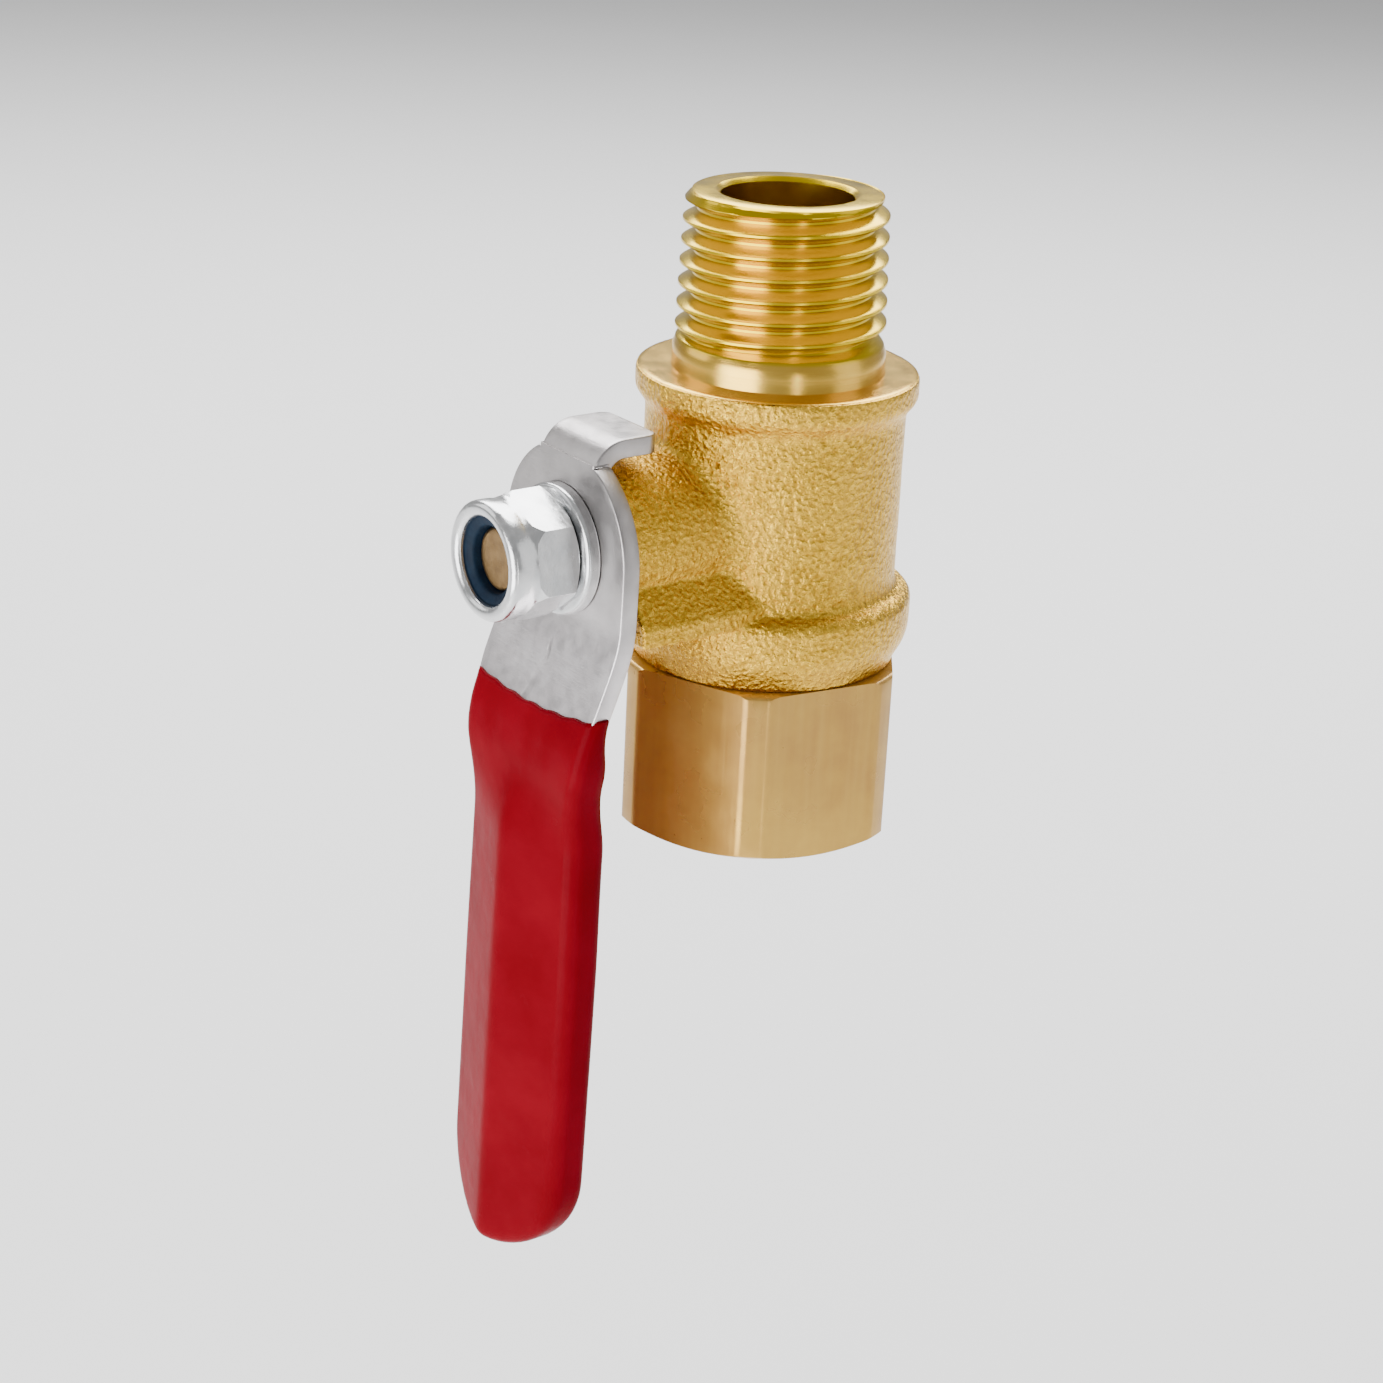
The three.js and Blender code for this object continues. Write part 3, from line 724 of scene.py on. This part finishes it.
def build_stem():
    """Stem with flange, ring grooves and threaded end, then its tang and its flats."""
    points, faces = revolve(stem_profile(), 96)
    piece("stem_fine", along_stem(points), faces, "lever", ["stem"], 40)
    tang, tang_faces = block(box_outline(2.9, TANG_HALF), -stem_high[1], FLANGE_START + 0.15)
    piece("stem_tang", along_stem(tang), tang_faces, "lever")
    square, square_faces = block(box_outline(STEM_NECK_R, 2.07), 14.6, PLATE_FRONT)
    piece("stem_flats", along_stem(square), square_faces, "lever")


def build_ball():
    """The ball, bored along the flow and slotted for the stem's tang."""
    edge = math.asin(BALL_BORE_R / BALL_R)
    foot = BALL_R * math.cos(edge + 0.03) - 0.1
    profile = [(BALL_BORE_R, STEM_Z - foot), (BALL_BORE_R, STEM_Z + foot)]
    for a in np.linspace(edge + 0.02, math.pi - edge - 0.02, 48):
        profile.append((BALL_R * math.sin(a), STEM_Z + BALL_R * math.cos(a)))
    profile.append(profile[0])
    points, faces = revolve(profile[::-1], 128)
    made = piece("ball_fine", points, faces, "ball", ["ball"], 40)
    cutter, cutter_faces = block(box_outline(7, BALL_SLOT_HALF), 4.7, 8, 0.05)
    cut(made, along_stem(cutter), cutter_faces)


def build_seats():
    """The two sealing rings, each hollowed to the ball."""
    face = BALL_R + 0.06
    profile = [(SEAT_BORE_R, SEAT_END)]
    profile += [(math.sqrt(face ** 2 - reach ** 2), reach) for reach in np.linspace(4.93, SEAT_START, 9)]
    profile += [(SEAT_R - 0.05, SEAT_START), (SEAT_R, SEAT_START + 0.05), (SEAT_R, SEAT_END - 0.05),
                (SEAT_R - 0.05, SEAT_END), (SEAT_BORE_R, SEAT_END)]
    for name, side in (("seat_male_side", 1), ("seat_female_side", -1)):
        section_here = [(radius, STEM_Z + side * reach) for radius, reach in profile]
        points, faces = revolve(section_here, 120)
        piece(name + "_fine", points, faces, "valve_body", [name], 40)


def build_stem_seals():
    """The slip washer above the flange and the two rings in the stem's grooves."""
    inner, outer, low, high = 3.02, FLANGE_R, 7.79, 8.61
    corners = [(inner, low), (outer, low), (outer, high), (inner, high)]
    turned_on_stem("thrust_washer_fine", corners, 0.06, "stem_thrust_washer")
    for name, low in GROOVES.items():
        middle = low + GROOVE_WIDTH / 2
        wire = [(RING_R + RING_WIRE_R * math.cos(a), middle + RING_WIRE_R * math.sin(a))
                for a in np.linspace(0, TAU, 21)]
        points, faces = revolve(wire, 96)
        piece(name + "_fine", along_stem(points), faces, "lever", [name], 40)


# ------------------------------------------------------------------ the lever


def crank(z):
    """How far the blade stands out beyond the head at a height."""
    return CRANK_OFFSET * ease(-z, -CRANK_START, -CRANK_END) + np.maximum(0, CRANK_END - z) * LEAN


def blade_half(z):
    """Half width of the lever at a height: head, shank, waist, then a slight flare."""
    shank = HEAD_R + (SHANK_HALF - HEAD_R) * ease(-z, -STEM_Z, -SHANK_Z)
    waist = shank + (WAIST_HALF - shank) * ease(-z, -WAIST_START, -WAIST_END)
    return waist + FLARE * ease(-z, -FLARE_START, -FLARE_END)


def fold_share(z):
    """How far the fold has formed at a height, 0 to 1."""
    return ease(-z, -FOLD_START, -FOLD_END)


def fold_height(x, z):
    """How far the folded sheet stands out of its middle surface."""
    across = np.sqrt(x * x + FOLD_ROUND ** 2) - FOLD_ROUND
    return fold_share(z) * (FOLD_RISE - FOLD_SLOPE * across)


def lever_stations():
    """Reach, height and half width along the middle of the sheet, from tab to blade."""
    path = []
    for angle in np.linspace(TAU / 4, 0, 9):
        path.append((TAB_END + TAB_CORNER * (1 - math.sin(angle)), TAB_Z,
                     TAB_HALF - TAB_CORNER * (1 - math.cos(angle))))
    path.append((TAB_END + 1.6, TAB_Z, TAB_HALF))
    for angle in np.linspace(0, TAU / 4, 14):
        path.append((PLATE_MIDDLE - TAB_BEND_R + TAB_BEND_R * math.sin(angle),
                     TAB_Z - TAB_BEND_R + TAB_BEND_R * math.cos(angle), TAB_HALF))
    start = math.asin(TAB_HALF / HEAD_R)
    path.append((PLATE_MIDDLE, STEM_Z + HEAD_R * math.cos(start) + 0.12, TAB_HALF + 0.02))
    for angle in np.linspace(start + 0.03, TAU / 4, 26):
        path.append((PLATE_MIDDLE, STEM_Z + HEAD_R * math.cos(angle), HEAD_R * math.sin(angle)))
    for z in np.linspace(STEM_Z - 0.3, LEVER_TIP + TIP_R, 90):
        path.append((PLATE_MIDDLE + crank(z), z, blade_half(z)))
    for angle in np.linspace(0.12, TAU / 4 * 0.94, 10):
        z = LEVER_TIP + TIP_R - TIP_R * math.sin(angle)
        path.append((PLATE_MIDDLE + crank(z), z, TIP_R * math.cos(angle)))
    return np.array(path)


def section(half, thick, edge, columns):
    """Across and out positions round a flat section with rounded edges."""
    flat = np.linspace(-(half - edge), half - edge, columns)
    turn = np.linspace(0, TAU / 2, 9)[1:-1]
    side_u = half - edge + edge * np.sin(turn)
    side_v = (thick / 2 - edge) * np.sign(np.cos(turn)) + edge * np.cos(turn)
    u = np.concatenate([flat, side_u, flat[::-1], -side_u[::-1]])
    v = np.concatenate([np.full(columns, thick / 2), side_v, np.full(columns, -thick / 2), side_v[::-1]])
    return u, v


def sheet(grow, edge, top=99):
    """Points and faces of the steel sheet below top, grown all round by grow."""
    path = lever_stations()
    path = path[path[:, 1] < top]
    columns = 17
    tab_round = 0.14
    rows = []
    for i in range(len(path)):
        reach, z, half = path[i]
        before, after = path[max(0, i - 1)], path[min(len(path) - 1, i + 1)]
        along = after[:2] - before[:2]
        along = along / np.linalg.norm(along)
        out = np.array([-along[1], along[0]])
        shrink = tab_round * max(0, 1 - i / 2.5) if grow == 0 else 0
        u, v = section(half + grow, PLATE_T + 2 * grow - 2 * shrink, edge, columns)
        lift = v + fold_height(u, z)
        rows.append(np.stack([u, -(reach + out[0] * lift), z + out[1] * lift], 1))
    count = len(rows[0])
    faces = grid_faces(len(rows), count, True)
    faces.append(tuple(range(count)))
    faces.append(tuple(range((len(rows) - 1) * count, len(rows) * count))[::-1])
    return np.concatenate(rows), faces


def build_lever():
    """The bare steel lever, with its hole for the stem's flats."""
    points, faces = sheet(0, 0.13)
    made = piece("lever_plate", points, faces, "lever", ["handle_lever"], 50)
    hole_r, hole_half = 3.03, 2.18
    hole = [(min(hole_half, max(-hole_half, hole_r * math.cos(a))), hole_r * math.sin(a))
            for a in np.linspace(0, TAU, 64, endpoint=False)]
    cutter, cutter_faces = block(hole, 13.5, 17.5, 0.01)
    cut(made, along_stem(cutter), cutter_faces)


def grip_field(p):
    """The dipped coat: rounded all round, thinning to a wavy lip at its top."""
    x, reach, z = p[..., 0], -p[..., 1], p[..., 2]
    top = COAT_TOP + 0.014 * x * x + 0.035 * x + 0.05 * np.sin(x * 2.9 + 1.0)
    coat = COAT_LIP + (COAT - COAT_LIP) * ease(top - z, -0.1, 4.2)
    lean = 1 / np.sqrt(1 + 0.11 * ease(z, 6, 9) * ease(-z, -16, -13))
    out = (reach - PLATE_MIDDLE - crank(z) - fold_height(x, z)) * lean
    out = out / np.sqrt(1 + (fold_share(z) * FOLD_SLOPE) ** 2)
    half = blade_half(z) + coat
    centre = LEVER_TIP + TIP_R
    across = np.where(z > centre, np.abs(x) - half, np.hypot(x, z - centre) - half)
    side = across + COAT_EDGE
    face = np.abs(out) - (PLATE_T / 2 + coat) + COAT_EDGE
    outside = np.hypot(np.maximum(side, 0), np.maximum(face, 0))
    shape = outside + np.minimum(np.maximum(side, face), 0) - COAT_EDGE
    return soft_max(shape, z - top, 0.16)


def build_grip():
    """The red coat, hollowed by the steel inside it."""
    step = 0.24
    points, faces = surface(grip_field, grip_low - 0.6, grip_high + 0.9, step)
    made = piece("grip_dipped", points, faces, "lever", ["handle_grip"], 70)
    steel, steel_faces = sheet(0.02, 0.14, COAT_TOP + 1.5)
    cut(made, steel, steel_faces)
    smooth(made.data, 60)


# -------------------------------------------------------------- the materials


class Nodes:
    """A short way to build a material's nodes. Lengths are in metres."""

    def __init__(self, name):
        self.material = bpy.data.materials.new(name)
        self.material.use_nodes = True
        self.tree = self.material.node_tree
        self.shader = self.tree.nodes["Principled BSDF"]
        self.place = self.add("ShaderNodeTexCoord").outputs["Object"]

    def add(self, kind, **settings):
        node = self.tree.nodes.new(kind)
        for key, value in settings.items():
            setattr(node, key, value)
        return node

    def link(self, source, target):
        self.tree.links.new(source, target)

    def set(self, **values):
        """Gives sockets of the shader one value all over."""
        for key, value in values.items():
            self.shader.inputs[key.replace("_", " ")].default_value = value

    def drive(self, **sources):
        """Links nodes to sockets of the shader."""
        for key, source in sources.items():
            self.link(source, self.shader.inputs[key.replace("_", " ")])

    def noise(self, size, detail=2.0, rough=0.5, place=None, stretch=None):
        """Noise with features of about size metres, 0 to 1."""
        node = self.add("ShaderNodeTexNoise")
        node.inputs["Scale"].default_value = 1 / size
        node.inputs["Detail"].default_value = detail
        node.inputs["Roughness"].default_value = rough
        source = place or self.place
        if stretch:
            mapping = self.add("ShaderNodeMapping")
            mapping.inputs["Scale"].default_value = stretch
            self.link(source, mapping.inputs["Vector"])
            source = mapping.outputs["Vector"]
        self.link(source, node.inputs["Vector"])
        return node.outputs["Fac"]

    def cells(self, size):
        """Distance from the middles of cells of about size metres."""
        node = self.add("ShaderNodeTexVoronoi")
        node.inputs["Scale"].default_value = 1 / size
        self.link(self.place, node.inputs["Vector"])
        return node.outputs["Distance"]

    def math(self, operation, a, b):
        node = self.add("ShaderNodeMath", operation=operation)
        for socket, value in zip(node.inputs, (a, b)):
            if isinstance(value, (int, float)):
                socket.default_value = value
            else:
                self.link(value, socket)
        return node.outputs["Value"]

    def spread(self, value, low, high, to_low=0.0, to_high=1.0):
        """Maps a value from one range to another, clamped."""
        node = self.add("ShaderNodeMapRange")
        self.link(value, node.inputs["Value"])
        node.inputs["From Min"].default_value = low
        node.inputs["From Max"].default_value = high
        node.inputs["To Min"].default_value = to_low
        node.inputs["To Max"].default_value = to_high
        return node.outputs["Result"]

    def ramp(self, value, stops):
        """Colours along a value, given as [(position, colour), ...]."""
        node = self.add("ShaderNodeValToRGB")
        self.link(value, node.inputs["Fac"])
        elements = node.color_ramp.elements
        while len(elements) < len(stops):
            elements.new(0.5)
        for element, (position, color) in zip(elements, stops):
            element.position = position
            element.color = (*color, 1)
        return node.outputs["Color"]

    def blend(self, factor, a, b):
        """Colour a where the factor is 0 and b where it is 1."""
        node = self.add("ShaderNodeMix", data_type="RGBA")
        for socket, value in ((node.inputs["Factor"], factor), (node.inputs[6], a), (node.inputs[7], b)):
            if isinstance(value, tuple):
                socket.default_value = (*value, 1)
            else:
                self.link(value, socket)
        return node.outputs[2]

    def axis(self, name):
        """One coordinate of the place, in metres."""
        node = self.add("ShaderNodeSeparateXYZ")
        self.link(self.place, node.inputs["Vector"])
        return node.outputs[name]

    def mottle(self, size, detail, start, first, end, last):
        """Two colours mixed by noise, first below start and last above end."""
        return self.ramp(self.noise(size, detail), [(start, first), (end, last)])

    def wear(self, size, detail, end, low, high):
        """A value wandering between low and high."""
        return self.spread(self.noise(size, detail), 0.3, end, low, high)

    def bump(self, *layers):
        """Stacks bumps, each a (height value, depth in metres)."""
        normal = None
        for height, depth in layers:
            node = self.add("ShaderNodeBump")
            node.inputs["Strength"].default_value = 1.0
            node.inputs["Distance"].default_value = depth
            self.link(height, node.inputs["Height"])
            if normal is not None:
                self.link(normal, node.inputs["Normal"])
            normal = node.outputs["Normal"]
        self.link(normal, self.shader.inputs["Normal"])


def brass_forged():
    """Shot-blasted skin below the shoulder, turned metal above it."""
    n = Nodes("forged_brass")
    n.set(Metallic=1.0, IOR=1.5)
    height = n.axis("Z")
    machined = n.spread(height, (SHOULDER - 0.16) * MM, (SHOULDER - 0.08) * MM)
    skin = n.math("SUBTRACT", 1.0, machined)
    flat = n.add("ShaderNodeVectorMath", operation="MULTIPLY")
    flat.inputs[1].default_value = (1, 1, 0)
    n.link(n.place, flat.inputs[0])
    radial = n.add("ShaderNodeVectorMath", operation="LENGTH")
    n.link(flat.outputs["Vector"], radial.inputs[0])
    radius = radial.outputs["Value"]
    inner = n.spread(radius, 7.3 * MM, 7.5 * MM, 1.0, 0.0)

    grit = n.noise(0.00030, 3.0, 0.6)
    pits = n.cells(0.00034)
    browns = [(0.3, (0.46, 0.24, 0.014)), (0.5, (0.55, 0.30, 0.024)), (0.72, (0.64, 0.365, 0.038))]
    tint = n.ramp(n.noise(0.0035, 3.0, 0.55), browns)
    blasted = n.blend(n.spread(grit, 0.35, 0.7), tint, (0.92, 0.57, 0.050))
    turned = n.mottle(0.004, 2.0, 0.35, (0.80, 0.48, 0.065), 0.7, (0.88, 0.57, 0.10))
    threaded = n.spread(height, (THREAD_START - 0.15) * MM, (THREAD_START + 0.15) * MM)
    turned = n.blend(threaded, turned, (0.68, 0.46, 0.003))

    rough = n.add("ShaderNodeMix", data_type="FLOAT")
    n.link(machined, rough.inputs[0])
    n.link(n.spread(grit, 0.3, 0.75, 0.36, 0.20), rough.inputs[2])
    n.link(n.wear(0.002, 2.0, 0.7, 0.18, 0.26), rough.inputs[3])
    n.drive(Base_Color=n.blend(machined, blasted, turned), Roughness=rough.outputs[0])

    rings = n.noise(0.00005, 2.0, 0.6, radius)
    lines = n.noise(0.00006, 2.0, 0.6, height)
    blast = n.math("MULTIPLY", grit, skin)
    pit = n.math("MULTIPLY", pits, skin)
    ring_mark = n.math("MULTIPLY", rings, n.math("MULTIPLY", machined, n.math("SUBTRACT", 1.0, inner)))
    line_mark = n.math("MULTIPLY", lines, n.math("MULTIPLY", machined, inner))
    n.bump((blast, 0.00018), (pit, 0.00008), (ring_mark, 0.000006), (line_mark, 0.000004))
    return n.material


def brass_drawn():
    """Smooth drawn bar with faint draw lines and stains."""
    n = Nodes("drawn_brass")
    stain = n.noise(0.006, 4.0, 0.6)
    streak = n.noise(0.0006, 3.0, 0.5, stretch=(1, 1, 0.06))
    base = n.ramp(stain, [(0.3, (0.44, 0.23, 0.05)), (0.52, (0.54, 0.31, 0.06)), (0.75, (0.66, 0.40, 0.08))])
    streaked = n.blend(n.spread(streak, 0.35, 0.75, 0.0, 0.35), base, (0.66, 0.42, 0.09))
    n.drive(Base_Color=streaked, Metallic=n.spread(stain, 0.3, 0.7, 0.42, 0.68),
            Roughness=n.wear(0.0025, 3.0, 0.7, 0.24, 0.36))
    draw = n.noise(0.00022, 2.0, 0.5, stretch=(1, 1, 0.03))
    n.bump((draw, 0.000005), (n.noise(0.0014, 2.0), 0.00001))
    return n.material


def steel_plated():
    """Satin nickel-plated sheet: painted shade makes the head darker than the blade; curved scratches on the
    blade.
    """
    n = Nodes("plated_steel")
    n.set(Metallic=1.0)
    height = n.axis("Z")
    arcs = n.add("ShaderNodeTexWave", wave_type="RINGS", rings_direction="SPHERICAL")
    arcs.inputs["Scale"].default_value = 210
    arcs.inputs["Distortion"].default_value = 5.0
    arcs.inputs["Detail"].default_value = 2.0
    arcs.inputs["Detail Scale"].default_value = 0.6
    shifted = n.add("ShaderNodeMapping")
    shifted.inputs["Location"].default_value = (0.006, 0.0, -0.009)
    n.link(n.place, shifted.inputs["Vector"])
    n.link(shifted.outputs["Vector"], arcs.inputs["Vector"])
    arc = n.spread(arcs.outputs["Fac"], 0.96, 0.995)
    patch = n.spread(n.noise(0.0031, 2.0), 0.50, 0.60)
    mark = n.math("MULTIPLY", n.math("MULTIPLY", arc, patch), n.spread(height, 16.5 * MM, 15 * MM))

    cloud = n.noise(0.0022, 3.0, 0.55)
    blade = n.ramp(cloud, [(0.3, (0.68, 0.64, 0.645)), (0.7, (0.82, 0.78, 0.785))])
    # Painted shade: the head's colour is darker than the blade's, standing in for how the light falls on the
    # head.
    shaded_head = n.ramp(cloud, [(0.3, (0.36, 0.34, 0.335)), (0.7, (0.48, 0.455, 0.45))])
    # Blade colour below, the head's painted shade above.
    plain = n.blend(n.spread(height, 15 * MM, 20 * MM), blade, shaded_head)
    n.drive(Base_Color=n.blend(n.math("MULTIPLY", mark, 0.55), plain, (0.30, 0.28, 0.28)),
            Roughness=n.wear(0.0009, 3.0, 0.75, 0.28, 0.44))
    scratch = n.noise(0.00016, 2.0, 0.6, stretch=(0.12, 1, 1))
    grain = n.noise(0.00009, 2.0)
    waviness = n.noise(0.0016, 2.0)
    n.bump((grain, 0.000009), (scratch, 0.000008), (waviness, 0.00003), (mark, -0.00004))
    return n.material


def zinc_bright():
    """Bright zinc plating."""
    n = Nodes("bright_zinc")
    n.set(Metallic=1.0)
    n.drive(Base_Color=n.mottle(0.0012, 3.0, 0.3, (0.64, 0.65, 0.66), 0.7, (0.80, 0.80, 0.80)),
            Roughness=n.wear(0.0006, 3.0, 0.75, 0.16, 0.30))
    n.bump((n.noise(0.0005, 2.0), 0.000012), (n.noise(0.00008, 2.0), 0.000003))
    return n.material


def vinyl_red():
    """Soft dipped vinyl, slightly wavy where it ran."""
    n = Nodes("red_vinyl")
    n.set(IOR=1.07)
    n.drive(Base_Color=n.mottle(0.0045, 3.0, 0.3, (0.155, 0.0015, 0.006), 0.7, (0.190, 0.0025, 0.009)),
            Roughness=n.wear(0.0012, 3.0, 0.75, 0.18, 0.28))
    n.bump((n.noise(0.0021, 2.0), 0.00005), (n.noise(0.00035, 2.0), 0.000006))
    return n.material


def nylon_blue():
    """Dark blue nylon."""
    n = Nodes("blue_nylon")
    n.drive(Base_Color=n.mottle(0.0008, 3.0, 0.3, (0.002, 0.008, 0.020), 0.7, (0.004, 0.015, 0.032)))
    n.set(Roughness=0.5, Specular_IOR_Level=0.12)
    n.bump((n.noise(0.0003, 2.0), 0.00001), (n.noise(0.0012, 2.0), 0.00003))
    return n.material


def brass_turned():
    """Dull turned brass."""
    n = Nodes("turned_brass")
    n.set(Metallic=1.0)
    n.drive(Base_Color=n.mottle(0.0009, 3.0, 0.3, (0.20, 0.12, 0.050), 0.7, (0.34, 0.21, 0.085)),
            Roughness=n.wear(0.0005, 3.0, 0.7, 0.30, 0.45))
    n.bump((n.noise(0.0003, 3.0), 0.00002), (n.noise(0.00007, 2.0), 0.000006))
    return n.material


def chrome_ball():
    """Polished chrome plating."""
    n = Nodes("chromed_brass")
    n.set(Metallic=1.0)
    n.drive(Base_Color=n.mottle(0.002, 2.0, 0.3, (0.66, 0.66, 0.66), 0.7, (0.74, 0.74, 0.74)),
            Roughness=n.wear(0.0015, 3.0, 0.7, 0.06, 0.12))
    n.bump((n.noise(0.0004, 2.0), 0.000002))
    return n.material


def plastic_seal():
    """White sealing plastic."""
    n = Nodes("seal_plastic")
    n.drive(Base_Color=n.mottle(0.002, 3.0, 0.3, (0.78, 0.77, 0.72), 0.7, (0.86, 0.85, 0.81)))
    n.set(Roughness=0.45)
    n.bump((n.noise(0.0005, 2.0), 0.00001))
    return n.material


def rubber_seal():
    """Black rubber."""
    n = Nodes("seal_rubber")
    n.drive(Base_Color=n.mottle(0.001, 3.0, 0.3, (0.010, 0.010, 0.010), 0.7, (0.022, 0.022, 0.022)))
    n.set(Roughness=0.6)
    n.bump((n.noise(0.0002, 2.0), 0.00001))
    return n.material


FINISHES = {
    brass_forged: ["body_forging", "body_male_thread"],
    brass_drawn: ["hex_end"],
    steel_plated: ["lever_plate"],
    vinyl_red: ["grip_dipped"],
    zinc_bright: ["washer_fine", "lock_nut_fine"],
    nylon_blue: ["insert_fine"],
    brass_turned: ["stem_fine", "stem_tang", "stem_flats"],
    chrome_ball: ["ball_fine"],
    plastic_seal: ["seat_male_side_fine", "seat_female_side_fine", "thrust_washer_fine"],
    rubber_seal: ["stem_ring_inner_fine", "stem_ring_outer_fine"],
}


def finish_pieces():
    """Makes each material once and gives it to its pieces."""
    for maker, names in FINISHES.items():
        material = maker()
        for name in names:
            slots = bpy.data.objects[name].data.materials
            slots.clear()
            slots.append(material)


# ------------------------------------------------------ camera, floor, lights

CAMERA_AZIMUTH = math.radians(53.0)
CAMERA_ELEVATION = math.radians(21.4)
CAMERA_ROLL = math.radians(2.84)
CAMERA_DISTANCE = 196.1
CAMERA_LENS = 77.6
CAMERA_AIM = Vector((-2.66, -3.54, 8.06))
SENSOR_WIDTH = 36
FLOOR_DEPTH = 75
FLOOR_REACH = 2500
WORLD_STRENGTH = 0.45

# Soft panels: azimuth and elevation in degrees, distance, size, radiance.
PANELS = {
    "overhead": (233, 51, 700, (820, 600), 9.0),
    "key": (12, -4, 175, (132, 160), 6.5),
    "strip": (74, -6, 185, (15, 130), 4.5),
    "left": (-46, 26, 230, (130, 130), 1.5),
    "right": (132, 16, 260, (150, 220), 0.8),
}


def from_camera_side(azimuth, elevation, distance):
    """A point seen from the aim at an azimuth round from the front and an elevation."""
    flat = math.cos(elevation)
    back = Vector((math.sin(azimuth) * flat, -math.cos(azimuth) * flat, math.sin(elevation)))
    return CAMERA_AIM + back * distance


def look_at(source, target, roll=0.0):
    """The matrix of a camera or light at source that looks at target."""
    turn = (target - source).to_track_quat("-Z", "Y").to_matrix().to_4x4()
    return Matrix.Translation(source) @ turn @ Matrix.Rotation(roll, 4, "Z")


def add_camera():
    data = bpy.data.cameras.new("camera")
    data.lens = CAMERA_LENS
    data.sensor_width = SENSOR_WIDTH
    data.clip_start = 0.005
    data.clip_end = 10
    camera = add_object("camera", data)
    place = from_camera_side(CAMERA_AZIMUTH, CAMERA_ELEVATION, CAMERA_DISTANCE)
    camera.matrix_world = look_at(place * MM, CAMERA_AIM * MM, CAMERA_ROLL)
    bpy.context.scene.camera = camera


def add_light(name, azimuth, elevation, distance, size, radiance):
    """A soft panel aimed at the object."""
    data = bpy.data.lights.new(name, "AREA")
    data.shape = "RECTANGLE"
    data.size, data.size_y = size[0] * MM, size[1] * MM
    data.energy = radiance * math.pi * data.size * data.size_y
    light = add_object(name, data)
    light.visible_camera = False
    place = from_camera_side(math.radians(azimuth), math.radians(elevation), distance)
    light.matrix_world = look_at(place * MM, CAMERA_AIM * MM)


def add_floor():
    """A plain pale floor well below the object."""
    height = cad_box[0][2] / MM - FLOOR_DEPTH
    corners = [(x, y, height) for x, y in box_outline(FLOOR_REACH, FLOOR_REACH)]
    mesh = bpy.data.meshes.new("floor")
    mesh.from_pydata((np.array(corners) * MM).tolist(), [], [(0, 1, 2, 3)])
    floor = add_object("floor", mesh)
    n = Nodes("floor")
    n.drive(Base_Color=n.mottle(0.05, 2.0, 0.0, (0.90, 0.90, 0.90), 1.0, (0.92, 0.92, 0.92)))
    n.set(Roughness=0.8)
    mesh.materials.append(n.material)


def add_surroundings():
    """An even white room."""
    world = bpy.data.worlds.new("studio")
    world.use_nodes = True
    background = world.node_tree.nodes["Background"]
    background.inputs["Color"].default_value = (1.0, 1.0, 1.0, 1)
    background.inputs["Strength"].default_value = WORLD_STRENGTH
    bpy.context.scene.world = world


add_camera()
add_floor()
add_surroundings()
for panel, settings in PANELS.items():
    add_light(panel, *settings)

build_forging()
build_male_thread()
build_end_connector()
build_ball()
build_seats()
build_stem()
build_stem_seals()
build_washer()
build_nut()
build_insert()
build_lever()
build_grip()
finish_pieces()
